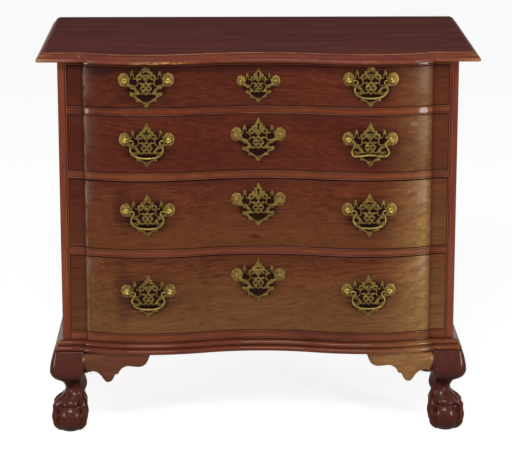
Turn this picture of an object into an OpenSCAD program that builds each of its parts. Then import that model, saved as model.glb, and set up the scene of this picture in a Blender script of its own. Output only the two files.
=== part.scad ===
// Reverse serpentine chest of four graduated drawers on claw-and-ball feet.
// Millimetres. X runs along the front, the front faces -Y, and Z is up from the floor.

/* [Case] */
// Width over the two case sides
case_w = 890; // [840:1:960]
// Depth of the case sides
case_d = 490; // [430:1:560]
// Thickness of the side boards
side_t = 20; // [16:0.5:26]
// Thickness of the backboards
back_t = 14; // [10:0.5:18]
// How deep the backboards are let into the sides
back_lap = 10; // [5:0.5:13]
// Number of backboards
back_count = 3; // [2:1:5]
// Seam between two backboards
back_seam = 0.6; // [0.2:0.1:0.9]
// Thickness of the bottom board
bottom_board_t = 16; // [10:0.5:20]
// Thickness of each drawer divider
divider_t = 18; // [14:0.5:24]
// Depth of the dividers and rails behind the flat front plane
rail_d = 60; // [45:1:90]
// Height of the rail under the top drawer's top edge
top_rail_h = 12; // [11:0.5:24]
// Height of the bottom rail
bottom_rail_h = 20; // [16:0.5:30]
// Width of the beads worked along the rails and sides
bead_w = 3.2; // [2:0.1:4]
// How far the beads stand forward of the rails
bead_out = 1.4; // [0.6:0.1:2]
// Width of the sunk line beside the bead on the side boards
quirk_w = 1; // [0.6:0.1:1.5]
// Width of the drawer runners
runner_w = 34; // [25:1:60]
// Thickness of the drawer runners
runner_t = 15; // [8:0.5:16]

/* [Serpentine front] */
// How far each swell stands forward of the flat ends
bulge = 32; // [22:0.5:38]
// Distance of each swell's crest from the middle
crest_x = 256; // [240:1:266]
// Width of the flat block at each end
end_flat = 54; // [46:1:62]
// Radius of the quarter round beside each flat block
step_r = 9; // [6:0.5:12]

/* [Drawer heights] */
// Opening of the first drawer, at the top
open_1 = 92; // [86:1:130]
// Opening of the second drawer
open_2 = 129; // [122:1:160]
// Opening of the third drawer
open_3 = 158; // [130:1:190]
// Opening of the fourth drawer, at the bottom
open_4 = 179; // [150:1:220]

/* [Drawers] */
// Gap round a drawer front in its opening
front_gap = 1; // [0.5:0.1:2]
// Gap beside a drawer's sides
side_gap = 1; // [0.5:0.1:2]
// Gap between a drawer side and its runner
run_gap = 0.3; // [0.2:0.1:0.6]
// How far the drawer faces lie behind the beads
face_set = 1; // [0.5:0.1:1.4]
// Thickness of a drawer front at its flat ends
front_t = 24; // [20:0.5:30]
// Thickness of the drawer sides
drawer_side_t = 11; // [8:0.5:15]
// Thickness of the drawer back
drawer_back_t = 11; // [8:0.5:15]
// Thickness of the drawer bottom
drawer_bottom_t = 8; // [6:0.5:10]
// Height of the groove for the bottom above a side's lower edge
groove_up = 8; // [6:0.5:12]
// Depth of the groove for the bottom
groove_d = 5; // [3:0.5:6]
// How far the sides stop below the front's top edge
side_drop = 4; // [1:0.5:8]
// Room behind a closed drawer
rear_room = 12; // [4:1:40]

/* [Top] */
// Thickness of the top
top_t = 20; // [18:0.5:26]
// Overhang of the top at each side
top_side_out = 44; // [34:1:50]
// Overhang of the top in front of the flat ends
top_front_out = 40; // [32:1:48]
// Overhang of the top at the back
top_back_out = 8; // [0:1:20]
// Width of the moulded edge seen from above
edge_in = 14; // [10:0.5:16]
// Depth of the dip in the top's edge in front of each arris
dip = 3.5; // [0:0.5:6]
// Half width of that dip
dip_w = 16; // [14:0.5:20]

/* [Base] */
// Height of the legs under the base moulding
leg_h = 196; // [175:1:215]
// Height of the base moulding
base_h = 24; // [18:0.5:30]
// How far the base moulding stands out from the case
base_out = 19; // [15:0.5:24]
// How far the base moulding reaches in under the case
base_in = 45; // [35:1:46]
// How far the legs reach in from the case corners
leg_in = 47; // [46:0.5:52]
// How far the knees stand out from the case sides
knee_out = 33; // [28:0.5:38]
// Diameter of the ankles
ankle_d = 48; // [40:0.5:52]
// Distance of the ankle's centre in from the case corner
ankle_in = 24; // [20:0.5:28]
// Diameter of the ball
ball_d = 76; // [68:0.5:80]
// How much of the ball is cut off flat at the floor
ball_flat = 5; // [3:0.5:8]
// Distance of the ball's centre in from the case corner
ball_in = 12.5; // [9:0.5:16]
// Turn of the talons from straight ahead
talon_turn = 50; // [40:1:58]
// Length of the knee brackets
bracket_len = 156; // [120:1:190]
// Drop of the knee brackets below the moulding
bracket_drop = 73; // [55:1:78]
// How far the brackets' faces stand out from the case
bracket_out = 8; // [3:0.5:12]
// How far the brackets' backs lie behind the case face
bracket_in = 16; // [10:0.5:24]

/* [Brass pulls] */
// Distance of each pull's centre from the middle
pull_x = 248; // [236:1:262]
// Distance between a pull's two posts
post_span = 96; // [88:0.5:100]
// Thickness of the brass plates
plate_t = 1.6; // [1:0.1:2.4]
// Height of the first drawer's posts above its opening's lower edge
post_z_1 = 61; // [58.5:0.5:62]
// Height of the second drawer's posts above its opening's lower edge
post_z_2 = 74; // [60:0.5:80]
// Height of the third drawer's posts above its opening's lower edge
post_z_3 = 89; // [60:0.5:86]
// Height of the fourth drawer's posts above its opening's lower edge
post_z_4 = 99; // [60:0.5:106]
// Radius of a post's shank
shank_r = 2.5; // [1.8:0.1:3]
// Radius of a post's head
head_r = 4.6; // [4:0.1:5.4]
// Distance of the bail's axis in front of the plate at the swell's crest
axis_out = 8; // [7.5:0.1:11]
// Radius of the pin at each end of a bail
pin_r = 1.5; // [1:0.1:2]
// Radius of the bail's rod
rod_r = 2; // [1.6:0.1:2.4]
// Drop of a bail below its axis
bail_drop = 39; // [34:0.5:41]

/* [Escutcheons and locks] */
// Distance from the first drawer's top edge down to its escutcheon
drop_1 = 4.5; // [3:0.5:6]
// Distance from the second drawer's top edge down to its escutcheon
drop_2 = 7; // [3:0.5:16]
// Distance from the third drawer's top edge down to its escutcheon
drop_3 = 9; // [3:0.5:16]
// Distance from the fourth drawer's top edge down to its escutcheon
drop_4 = 9; // [3:0.5:40]
// Size of the first drawer's escutcheon as a share of the others
small_plate = 0.79; // [0.7:0.01:0.84]
// Height of a lock
lock_h = 44; // [42:0.5:50]
// Width of a lock
lock_w = 64; // [50:1:80]
// Depth that a lock is let into the drawer front
lock_in = 8; // [7:0.5:12]
// How far a lock stands out of the wood behind it
lock_proud = 2; // [1:0.5:4]
// Width of a lock's bolt
bolt_w = 20; // [14:1:26]
// Thickness of a lock's bolt
bolt_t = 4; // [3:0.5:5]
// Travel of a lock's bolt
bolt_throw = 7; // [4:0.5:8]

/* [Clearances] */
// Radial clearance of a bail's pin in its post
pin_gap = 0.08; // [0.05:0.01:0.1]
// Radial clearance of a shank in the wood
shank_gap = 0.25; // [0.2:0.05:0.4]
// Gap behind the brass plates
plate_gap = 0.1; // [0.05:0.05:0.3]
// Gap round a bolt in its lock
bolt_gap = 0.3; // [0.2:0.05:0.5]

/* [Hidden] */
mahogany = [0.36, 0.15, 0.09];
mahogany_light = [0.47, 0.21, 0.11];
pine = [0.72, 0.55, 0.36];
brass = [0.62, 0.50, 0.22];
iron = [0.30, 0.29, 0.28];

// Places along X, and the two reference planes along Y
half_w = case_w / 2;
arris_x = half_w - end_flat;
inner_x = half_w - side_t;
total_d = case_d + top_back_out + top_front_out + bulge;
front_y = -total_d / 2 + bulge + top_front_out;
back_y = front_y + case_d;

// Heights, from the floor up
case_z = leg_h + base_h;
open_h = [open_1, open_2, open_3, open_4];
open_z4 = case_z + bottom_rail_h;
open_z3 = open_z4 + open_4 + divider_t;
open_z2 = open_z3 + open_3 + divider_t;
open_z1 = open_z2 + open_2 + divider_t;
open_z = [open_z1, open_z2, open_z3, open_z4];
top_rail_z = open_z1 + open_1;
case_top = top_rail_z + top_rail_h;

// Radii of the front's arcs: the middle hollow and the inner halves of the swells share one,
// and the outer halves run down to the quarter rounds
inner_r = (pow(crest_x / 2, 2) + pow(bulge / 2, 2)) / bulge;
inner_a = asin(crest_x / 2 / inner_r);
outer_run = arris_x - crest_x - step_r;
outer_q = (pow(outer_run, 2) + pow(bulge - step_r, 2)) / (2 * (bulge - step_r));
outer_r = outer_q + step_r;
outer_a = asin(outer_run / outer_q);

// Drawers
face_o = -face_set;
drawer_x = inner_x - side_gap;
drawer_len = case_d - back_t - rear_room;
drawer_rear_y = front_y + drawer_len;
front_rear_y = front_y + front_t;
post_z = [post_z_1, post_z_2, post_z_3, post_z_4];
plate_drop = [drop_1, drop_2, drop_3, drop_4];
plate_scale = [small_plate, 1, 1, 1];

// Brass
post_half = post_span / 2;
plate_o = face_o + plate_gap;
axis_y = front_y - (bulge + plate_o + plate_t + axis_out);
collar_t = 1.8;
collar_r = head_r + 1.8;
shank_tail = 7;
plate_up = 41;
plate_down = 59;
rail_room = 0.5;
small_key_down = 23;
key_down = 17.5;
key_r = 2.6;
key_slot_w = 3.2;
key_slot_h = 11;
lock_gap = 0.2;
bolt_h = 17;
bolt_y = front_rear_y - lock_in + 4;

// The front's outline from the middle to the right end, as [x, depth forward], at an offset
function arc_pts(cx, cy, r, a0, a1, n, first = 1) =
    [for (i = [first : n]) let (a = a0 + (a1 - a0) * i / n) [cx + r * sin(a), cy + r * cos(a)]];
function hollow_pts(o, a1, n) = [for (i = [0 : n]) let (a = a1 * i / n)
    [(inner_r - o) * sin(a), inner_r - (inner_r - o) * cos(a)]];
function half_front(o, n = 7) = concat(
    hollow_pts(o, inner_a, n),
    arc_pts(crest_x, bulge - inner_r, inner_r + o, -inner_a, 0, n),
    arc_pts(crest_x, bulge - outer_r, outer_r + o, 0, outer_a, n),
    arc_pts(arris_x - step_r, 0, step_r + o, outer_a, acos(o / (step_r + o)), 4)
);
function both_halves(half) = concat(
    [for (i = [len(half) - 1 : -1 : 1]) [-half[i][0], half[i][1]]], half
);

// Depth of the swell's face at a place along X
function swell_depth(x, o) = x < crest_x
    ? bulge - inner_r + sqrt(pow(inner_r + o, 2) - pow(x - crest_x, 2))
    : bulge - outer_r + sqrt(pow(outer_r + o, 2) - pow(x - crest_x, 2));

// A smooth line through a few chosen points
function spline_at(p0, p1, p2, p3, t) = 0.5 * (2 * p1 + (p2 - p0) * t
    + (2 * p0 - 5 * p1 + 4 * p2 - p3) * t * t + (3 * p1 - p0 - 3 * p2 + p3) * t * t * t);
function spline(p, n) = let (e = len(p) - 1) concat(
    [for (i = [0 : e - 1], k = [0 : n - 1])
        spline_at(p[max(i - 1, 0)], p[i], p[i + 1], p[min(i + 2, e)], k / n)],
    [p[e]]
);

// A solid through rings of points, each ring counter-clockwise seen from the next one
module loft(rings) {
    n = len(rings[0]);
    m = len(rings);
    sides = [for (k = [0 : m - 2], i = [0 : n - 1])
        [k * n + i, (k + 1) * n + i, (k + 1) * n + (i + 1) % n, k * n + (i + 1) % n]];
    first = [for (i = [0 : n - 1]) i];
    last = [for (i = [n - 1 : -1 : 0]) (m - 1) * n + i];
    polyhedron([for (r = rings, p = r) p], concat(sides, [first, last]));
}

// A slab whose front follows the serpentine at offset o, w wide to each side, back behind the flats
module front_slab(o, w, back, z, h) {
    line = concat([[-w, o]], both_halves(half_front(o)), [[w, o]]);
    outline = concat([for (p = line) [p[0], front_y - p[1]]], [[w, front_y + back], [-w, front_y + back]]);
    translate([0, 0, z])
        linear_extrude(h)
        polygon(outline);
}

module block(x0, x1, y0, y1, z0, z1) {
    translate([x0, y0, z0]) cube([x1 - x0, y1 - y0, z1 - z0]);
}

// Case

module side_board() {
    difference() {
        block(inner_x, half_w, front_y, back_y, case_z, case_top);
        block(inner_x - 1, inner_x + back_lap, back_y - back_t, back_y + 1, case_z - 1, case_top + 1);
        block(inner_x + bead_w, inner_x + bead_w + quirk_w, front_y - 1, front_y + bead_out,
            case_z - 1, case_top + 1);
    }
}

module side_right() {
    color(mahogany) side_board();
}

module side_left() {
    color(mahogany) mirror([1, 0, 0]) side_board();
}

module backboards() {
    board_h = (case_top - case_z - (back_count - 1) * back_seam) / back_count;
    color(pine)
    for (i = [0 : back_count - 1])
        translate([0, 0, case_z + i * (board_h + back_seam)])
        block(-inner_x - back_lap, inner_x + back_lap, back_y - back_t, back_y, 0, board_h);
}

module bottom_board() {
    color(pine)
    block(-inner_x, inner_x, front_y + rail_d, back_y - back_t, open_z4 - bottom_board_t, open_z4);
}

// A rail with a bead along its lower and, where asked, its upper edge
module beaded_rail(z, h, low_bead, high_bead) {
    front_slab(-bead_out, inner_x, rail_d, z, h);
    if (low_bead) front_slab(0, inner_x, rail_d, z, bead_w);
    if (high_bead) front_slab(0, inner_x, rail_d, z + h - bead_w, bead_w);
}

// Pocket above a drawer for its lock's bolt
module bolt_pocket(z) {
    block(-bolt_w / 2 - 1, bolt_w / 2 + 1, bolt_y - bolt_t / 2 - 1, bolt_y + bolt_t / 2 + 1,
        z - 1, z + bolt_throw + 1);
}

module top_rail() {
    color(mahogany_light)
    difference() {
        beaded_rail(top_rail_z, top_rail_h, true, false);
        bolt_pocket(top_rail_z);
    }
}

module divider(i) {
    z = open_z[i - 1] - divider_t;
    color(mahogany_light)
    if (i < 3) {
        difference() {
            beaded_rail(z, divider_t, true, true);
            bolt_pocket(z);
        }
    } else {
        beaded_rail(z, divider_t, true, true);
    }
}

module bottom_rail() {
    color(mahogany_light) beaded_rail(case_z, bottom_rail_h, true, true);
}

// Strips behind the dividers that carry the three upper drawers
module drawer_runners() {
    color(pine)
    for (z = [open_z1, open_z2, open_z3], s = [0, 1])
        mirror([s, 0, 0])
        block(inner_x - runner_w, inner_x, front_y + rail_d, back_y - back_t, z - runner_t, z);
}

// Top

outer_top_r = (pow(arris_x - crest_x, 2) + pow(bulge, 2)) / (2 * bulge);
function top_line(x) = x <= crest_x / 2 ? inner_r - sqrt(pow(inner_r, 2) - x * x)
    : x <= crest_x ? bulge - inner_r + sqrt(pow(inner_r, 2) - pow(x - crest_x, 2))
    : x < arris_x ? bulge - outer_top_r + sqrt(pow(outer_top_r, 2) - pow(x - crest_x, 2))
    : 0;
function top_dip(x) = abs(x - arris_x) < dip_w ? dip * pow(cos(90 * (x - arris_x) / dip_w), 2) : 0;
function top_depth(x) = top_line(x) - top_dip(x);

// The top's front edge from the middle to the right arris, as [x, depth, slope]
top_stations = concat(
    [for (i = [0 : 12]) crest_x * i / 12],
    [for (i = [1 : 6]) crest_x + (arris_x - dip_w - crest_x) * i / 6],
    [for (i = [-1 : 2]) arris_x + dip_w * i / 2]
);
top_half = [for (x = top_stations)
    [x, top_depth(x), x == 0 ? 0 : top_depth(x + 0.5) - top_depth(x - 0.5)]];

// The top's outline, every point moved in from the edge by q
function top_outline(q) = let (
    w = half_w + top_side_out,
    right = [for (p = top_half) let (m = sqrt(1 + p[2] * p[2]))
        [p[0] + q * p[2] / m, front_y - top_front_out - p[1] + q / m]],
    corner = [[w - q, front_y - top_front_out + q], [w - q, back_y + top_back_out]],
    half = concat(right, corner)
) concat([for (i = [len(half) - 1 : -1 : 1]) [-half[i][0], half[i][1]]], half);

// The moulded edge, from the underside up: how far in, and how high
top_edge = [
    [0.25, 0], [0.06, 0.09], [0, 0.22], [0.08, 0.38], [0.30, 0.50],
    [0.57, 0.63], [0.76, 0.77], [0.82, 0.90]
];

module top_board() {
    color(mahogany) {
        loft([for (e = top_edge)
            [for (p = top_outline(e[0] * edge_in)) [p[0], p[1], case_top + e[1] * top_t]]]);
        translate([0, 0, case_top + 0.5 * top_t])
            linear_extrude(0.5 * top_t)
            polygon(top_outline(edge_in));
    }
}

// Base

// The base moulding's outer profile, from the top down: how far out, and how high
base_profile = [
    [0.05, 1], [0.34, 1], [0.55, 0.92], [0.66, 0.78], [0.68, 0.64], [0.58, 0.56],
    [0.60, 0.50], [0.80, 0.46], [0.95, 0.36], [1, 0.22], [0.97, 0.10], [0.88, 0]
];

function base_line(o) = both_halves(concat(half_front(o, 5), [[half_w + o, o]]));
function base_inner() = both_halves([for (p = half_front(0, 5)) [p[0], -base_in]]);

module base_molding_front() {
    line = [for (p = base_profile) base_line(p[0] * base_out)];
    inner = concat([[base_in - half_w, -base_in]], base_inner(), [[half_w - base_in, -base_in]]);
    color(mahogany_light)
    loft([for (k = [0 : len(inner) - 1]) concat(
        [[inner[k][0], front_y - inner[k][1], leg_h], [inner[k][0], front_y - inner[k][1], case_z]],
        [for (j = [0 : len(base_profile) - 1])
            [line[j][k][0], front_y - line[j][k][1], leg_h + base_profile[j][1] * base_h]]
    )]);
}

module side_molding() {
    profile = concat([[-base_in, 0], [-base_in, base_h]],
        [for (p = base_profile) [p[0] * base_out, p[1] * base_h]]);
    difference() {
        translate([half_w, back_y, leg_h])
            rotate([90, 0, 0])
            linear_extrude(case_d + base_out)
            polygon(profile);
        translate([half_w, front_y, leg_h - 1])
            linear_extrude(base_h + 2)
            polygon([[-base_in - 1, base_in + 1], [-base_in - 1, -base_out - 1],
                [base_out + 1, -base_out - 1]]);
    }
}

module base_molding_right() {
    color(mahogany_light) side_molding();
}

module base_molding_left() {
    color(mahogany_light) mirror([1, 0, 0]) side_molding();
}

// Legs

ball_r = ball_d / 2;
ball_z = ball_r - ball_flat;
knee_swell = knee_out - base_out;
ankle_out = ankle_d / 2 - ankle_in;
ankle_back = ankle_d / 2 + ankle_in;
rear_ankle_in = 10;
rear_ball_in = 4;
rear_leg_d = base_out + leg_in;

// Rows round the ankle: share of the leg's height, shares of the ankle's diameter added outwards and inwards
ankle_rows = [
    [0.320, 0.25, -0.17], [0.385, 0.21, -0.10], [0.428, 0.10, -0.05], [0.473, 0, -0.01],
    [0.505, 0.02, 0.01], [0.549, 0.12, 0.02]
];
// Rows up the knee: share of the leg's height, share of the knee's swell, and squareness
knee_rows = [
    [0.637, 0.45, 2.6], [0.700, 0.90, 3], [0.770, 1, 3.4], [0.870, 0.72, 4], [0.950, 0.28, 5], [1, 0, 7]
];
// Rows up the leg: share of its height, reach out, reach in, squareness
leg_rows = concat(
    [for (r = ankle_rows) [r[0], ankle_out + r[1] * ankle_d, ankle_back + r[2] * ankle_d, 2]],
    [[0.593, ankle_out + 0.31 * ankle_d, leg_in + 1, 2.3]],
    [for (r = knee_rows) [r[0], base_out + r[1] * knee_swell, leg_in, r[2]]]
);

// Talons, as shares of the ball's radius: distance from its axis, height over its centre, thickness
talon_rows = [
    [0.50, 1.25, 0.15], [0.80, 1.00, 0.18], [1.00, 0.70, 0.18], [1.05, 0.34, 0.14],
    [1.08, 0.00, 0.16], [1.05, -0.34, 0.13], [0.94, -0.64, 0.09], [0.85, -0.78, 0.04]
];

function round_power(v, e) = sign(v) * pow(abs(v), e);
function leg_ring(r, rear, n = 20) = let (
    half = (r[1] + r[2]) / 2,
    half_y = rear ? min(half, rear_leg_d / 2) : half,
    rear_in = r[3] == 2 ? rear_ankle_in : 0,
    cx = half_w + (r[1] - r[2]) / 2,
    cy = rear ? back_y - half_y - rear_in : front_y + (r[2] - r[1]) / 2
) [for (i = [0 : n - 1]) let (a = 360 * i / n)
    [cx + half * round_power(cos(a), 2 / r[3]), cy + half_y * round_power(sin(a), 2 / r[3]), r[0] * leg_h]];

module talon() {
    e = len(talon_rows) - 1;
    loft([for (k = [0 : e]) let (
        p = talon_rows[k] * ball_r,
        q = talon_rows[min(k + 1, e)] - talon_rows[max(k - 1, 0)],
        t = [q[0], q[1]] / norm([q[0], q[1]])
    ) [for (i = [0 : 5]) let (a = 60 * i)
        [p[0] + p[2] * cos(a) * t[1], p[2] * sin(a), p[1] - p[2] * cos(a) * t[0]]]]);
}

// A right-hand leg, at the front or at the back
module leg(rear) {
    ball_x = half_w - ball_in;
    ball_y = rear ? back_y - ball_r - rear_ball_in : front_y + ball_in;
    loft([for (r = leg_rows) leg_ring(r, rear)]);
    translate([ball_x, ball_y, ball_z]) {
        difference() {
            sphere(ball_r, $fn = 48);
            translate([0, 0, -ball_z - ball_r]) cylinder(ball_r, ball_r, ball_r);
        }
        for (a = [talon_turn, 180 - talon_turn, 180 + talon_turn, -talon_turn])
            rotate([0, 0, a - 90]) talon();
    }
}

module foot_front_right() {
    color(mahogany) leg(false);
}

module foot_front_left() {
    color(mahogany) mirror([1, 0, 0]) leg(false);
}

module foot_rear_right() {
    color(mahogany) leg(true);
}

module foot_rear_left() {
    color(mahogany) mirror([1, 0, 0]) leg(true);
}

// Lower edge of a knee bracket, as shares of its length and its drop
bracket_curve = [
    [0, 0.74], [0.05, 0.67], [0.11, 0.635], [0.18, 0.67], [0.25, 0.77], [0.30, 0.91],
    [0.35, 1], [0.40, 0.965], [0.46, 0.77], [0.50, 0.70], [0.545, 0.59], [0.61, 0.505],
    [0.69, 0.48], [0.765, 0.51], [0.83, 0.53], [0.885, 0.48], [0.94, 0.36], [0.98, 0.10], [1, 0]
];

// A bracket's outline, length from the leg along X and up along Y
module bracket_outline() {
    edge = spline(bracket_curve, 3);
    polygon(concat([[0, 0]], [for (p = edge) [p[0] * bracket_len, -p[1] * bracket_drop]]));
}

module bracket_prism(depth) {
    rotate([90, 0, 0]) linear_extrude(depth) bracket_outline();
}

module front_bracket() {
    start_x = half_w - leg_in;
    intersection() {
        translate([start_x, front_y + bracket_in, leg_h])
            mirror([1, 0, 0])
            bracket_prism(bracket_in + bulge + bracket_out + 5);
        front_slab(bracket_out, half_w, bracket_in, leg_h - bracket_drop - 1, bracket_drop + 1);
    }
}

module side_bracket(y, turn) {
    translate([half_w + bracket_out, y, leg_h])
        mirror([0, turn, 0])
        rotate([0, 0, 90])
        translate([0, bracket_in + bracket_out, 0])
        bracket_prism(bracket_in + bracket_out);
}

module knee_brackets() {
    color(mahogany_light)
    for (s = [0, 1])
        mirror([s, 0, 0]) {
            front_bracket();
            side_bracket(front_y + leg_in, 0);
            side_bracket(back_y - rear_leg_d, 1);
        }
}

// Drawers

module keyhole(i, depth) {
    z = key_z(i);
    translate([0, front_y - bulge, z])
        rotate([-90, 0, 0])
        cylinder(depth, key_r, key_r, $fn = 32);
    block(-key_slot_w / 2, key_slot_w / 2, front_y - bulge, front_y - bulge + depth,
        z - key_slot_h * plate_scale[i], z);
}
function key_z(i) = open_z[i] + open_h[i] - front_gap - plate_drop[i] - key_down * plate_scale[i];
function front_top(i) = open_z[i] + open_h[i] - front_gap;

module drawer_front(i) {
    z = open_z[i] + front_gap;
    groove_z = open_z[i] + run_gap + groove_up;
    color(mahogany)
    difference() {
        front_slab(face_o, drawer_x, front_t, z, open_h[i] - 2 * front_gap);
        block(-drawer_x + drawer_side_t - groove_d, drawer_x - drawer_side_t + groove_d,
            front_rear_y - groove_d, front_rear_y + 1, groove_z, groove_z + drawer_bottom_t);
        for (s = [-1, 1], q = [-1, 1])
            translate([s * pull_x + q * post_half, front_rear_y + 1, open_z[i] + post_z[i]])
            rotate([90, 0, 0])
            cylinder(front_t + bulge + 2, shank_r + shank_gap, shank_r + shank_gap, $fn = 32);
        if (i < 3) {
            keyhole(i, bulge + front_t - 1);
            block(-lock_w / 2 - lock_gap, lock_w / 2 + lock_gap, front_rear_y - lock_in - lock_gap,
                front_rear_y + 1, front_top(i) - lock_h - lock_gap, front_top(i) + 1);
        }
    }
}

module drawer_sides(i) {
    z = open_z[i] + run_gap;
    h = front_top(i) - side_drop - z;
    color(pine)
    for (s = [0, 1])
        mirror([s, 0, 0])
        difference() {
            block(drawer_x - drawer_side_t, drawer_x, front_rear_y, drawer_rear_y, z, z + h);
            block(drawer_x - drawer_side_t - 1, drawer_x - drawer_side_t + groove_d,
                front_rear_y - 1, drawer_rear_y + 1, z + groove_up, z + groove_up + drawer_bottom_t);
        }
}

module drawer_back(i) {
    z = open_z[i] + run_gap + groove_up + drawer_bottom_t;
    x = drawer_x - drawer_side_t;
    color(pine)
    block(-x, x, drawer_rear_y - drawer_back_t, drawer_rear_y, z, front_top(i) - 2 * side_drop);
}

module drawer_bottom(i) {
    z = open_z[i] + run_gap + groove_up;
    x = drawer_x - drawer_side_t + groove_d;
    color(pine)
    block(-x, x, front_rear_y - groove_d, drawer_rear_y, z, z + drawer_bottom_t);
}

// Brass plates

// Right half of the pierced plate's outline, from the top point down, above and below its round lobe
upper_edge = [
    [0, 41], [2.8, 36], [5.2, 29.4], [8.4, 27.8], [9.4, 22.2], [15, 20.4], [16.6, 14.2],
    [21, 12.2], [22.6, 7.2], [26.4, 7.4], [28.6, 15], [30.8, 24], [33, 15], [34.8, 7.6], [36.6, 7.2]
];
lower_edge = [
    [41, -12.6], [35.2, -13.6], [34, -17], [29, -18.2], [25.4, -19.8], [23.4, -23], [25, -26],
    [30, -25.6], [34.2, -24.6], [36, -28], [34.8, -32.2], [31, -35], [26, -37], [23, -39.4],
    [22.4, -46.4], [16.5, -45.8], [8, -49.6], [5, -54.5], [0, -59]
];
lobe_w = 12.2;
lobe_h = 14.6;
lobe_out = 1;
lobe_up = 2.5;
plate_half = concat(
    upper_edge,
    [for (a = [148 : -13 : -112])
        [post_half + lobe_out + lobe_w * cos(a), lobe_up + lobe_h * sin(a)]],
    lower_edge
);
leaf_window = [
    [9, -9.6], [13.5, -7.2], [18, -6.8], [18.6, -10.5], [23.4, -12], [22, -15], [18.6, -18.6],
    [15.5, -23.5], [12.5, -26.6], [8.6, -25.6], [9.2, -23], [12.4, -18.6], [12.6, -14.6]
];
wing_window = [
    [1.4, 0.4], [5.5, 3.2], [8.6, 8], [10.6, 3], [15.8, 1.6], [16.4, -2.4], [9, -1.8], [5.4, -4.4]
];
ear_window = [
    [22, 2.4], [27, 3.4], [28.6, 7.4], [30.4, 7.6], [31.6, 3.8], [34, 2.6], [34.4, -5.6],
    [28.6, -6.4], [22, -7.4]
];
low_window = [
    [0, -31.6], [3.2, -29.6], [5.9, -27.6], [8.2, -30.4], [13.6, -30.6], [21.4, -32.8],
    [17.4, -36.6], [11.6, -38.8], [7.6, -43], [0, -46.8]
];
heart_window = [
    [-8.8, 17.2], [-6.8, 14.4], [-3, 14], [0, 15.4], [3, 14], [6.8, 14.4], [8.8, 17.2],
    [5.4, 16.8], [3.4, 18.6], [0, 21.2], [-3.4, 18.6], [-5.4, 16.8]
];
diamonds = [[0, -9], [-5.8, -16.4], [5.8, -16.4], [0, -24]];
diamond_w = 4.4;
small_hole_up = 10.4;
small_hole_r = 1.8;

module plate_windows(k) {
    low_left = [for (i = [len(low_window) - 2 : -1 : 1]) [-low_window[i][0], low_window[i][1]]];
    for (s = [0, 1])
        mirror([s, 0]) {
            polygon(k * leaf_window);
            polygon(k * wing_window);
            polygon(k * ear_window);
        }
    polygon(k * concat(low_window, low_left));
    for (d = diamonds)
        translate(k * d) rotate(45) square(k * diamond_w, center = true);
}

// The plate's flat shape at k times its size, with its posts' line at height 0
module plate_shape(k) {
    left = [for (i = [len(plate_half) - 2 : -1 : 1]) [-plate_half[i][0], plate_half[i][1]]];
    difference() {
        polygon(k * concat(plate_half, left));
        plate_windows(k);
    }
}

// A curved sheet that follows the front, between two offsets, at the hollow or at a swell
module hollow_sheet(z0, z1) {
    sheet(hollow_line(plate_o + plate_t), hollow_line(plate_o), z0, z1);
}
function hollow_line(o) = [for (i = [0 : 11]) let (a = 7 * (2 * i / 11 - 1))
    [(inner_r - o) * sin(a), inner_r - (inner_r - o) * cos(a)]];

module swell_sheet(z0, z1) {
    sheet(swell_line(plate_o + plate_t), swell_line(plate_o), z0, z1);
}
function swell_line(o) = concat(
    arc_pts(crest_x, bulge - inner_r, inner_r + o, -9.5, 0, 8, 0),
    arc_pts(crest_x, bulge - outer_r, outer_r + o, 0, 11, 6)
);

module sheet(near, far, z0, z1) {
    back = [for (i = [len(far) - 1 : -1 : 0]) far[i]];
    translate([0, 0, z0])
        linear_extrude(z1 - z0)
        polygon([for (p = concat(near, back)) [p[0], front_y - p[1]]]);
}

// A pull's plate, cut short where it would reach the rail over its drawer
module pull_plate(i) {
    z = open_z[i] + post_z[i];
    high = min(plate_up + 1, open_h[i] - post_z[i] - rail_room);
    difference() {
        intersection() {
            swell_sheet(z - plate_down - 1, z + high);
            translate([pull_x, front_y, z])
                rotate([90, 0, 0])
                linear_extrude(bulge + 10)
                plate_shape(1);
        }
        for (q = [-1, 1])
            translate([pull_x + q * post_half, front_y, z])
            rotate([90, 0, 0])
            cylinder(bulge + 10, shank_r + shank_gap, shank_r + shank_gap, $fn = 32);
        translate([pull_x, front_y, z])
            rotate([90, 0, 0])
            linear_extrude(bulge + 10) {
                polygon(heart_window);
                translate([0, small_hole_up]) circle(small_hole_r, $fn = 24);
            }
    }
}

module pull_plates(i) {
    color(brass) {
        pull_plate(i);
        mirror([1, 0, 0]) pull_plate(i);
    }
}

// A post: shank through the wood, collar on the plate, and a domed head bored for the bail's pin
module post(i, q) {
    x = pull_x + q * post_half;
    plate_y = front_y - plate_gap
        - max(swell_depth(x - collar_r, plate_o + plate_t), swell_depth(x + collar_r, plate_o + plate_t));
    head_len = plate_y - axis_y;
    shank_len = front_rear_y + shank_tail - plate_y;
    dome = [for (a = [0 : 15 : 90]) [head_r * cos(a), head_len + head_r * sin(a)]];
    translate([x, 0, open_z[i] + post_z[i]])
    difference() {
        translate([0, plate_y, 0])
            rotate([90, 0, 0])
            rotate_extrude($fn = 48)
            polygon(concat([[0, -shank_len], [shank_r, -shank_len], [shank_r, 0], [collar_r, 0],
                [head_r + 1, collar_t], [head_r, collar_t]], dome));
        translate([-q * (head_r + 1), axis_y, 0])
            rotate([0, q * 90, 0])
            cylinder(head_r + 3, pin_r + pin_gap, pin_r + pin_gap, $fn = 32);
    }
}

module pull_posts(i) {
    color(brass)
    for (s = [0, 1], q = [-1, 1])
        mirror([s, 0, 0]) post(i, q);
}

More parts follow.
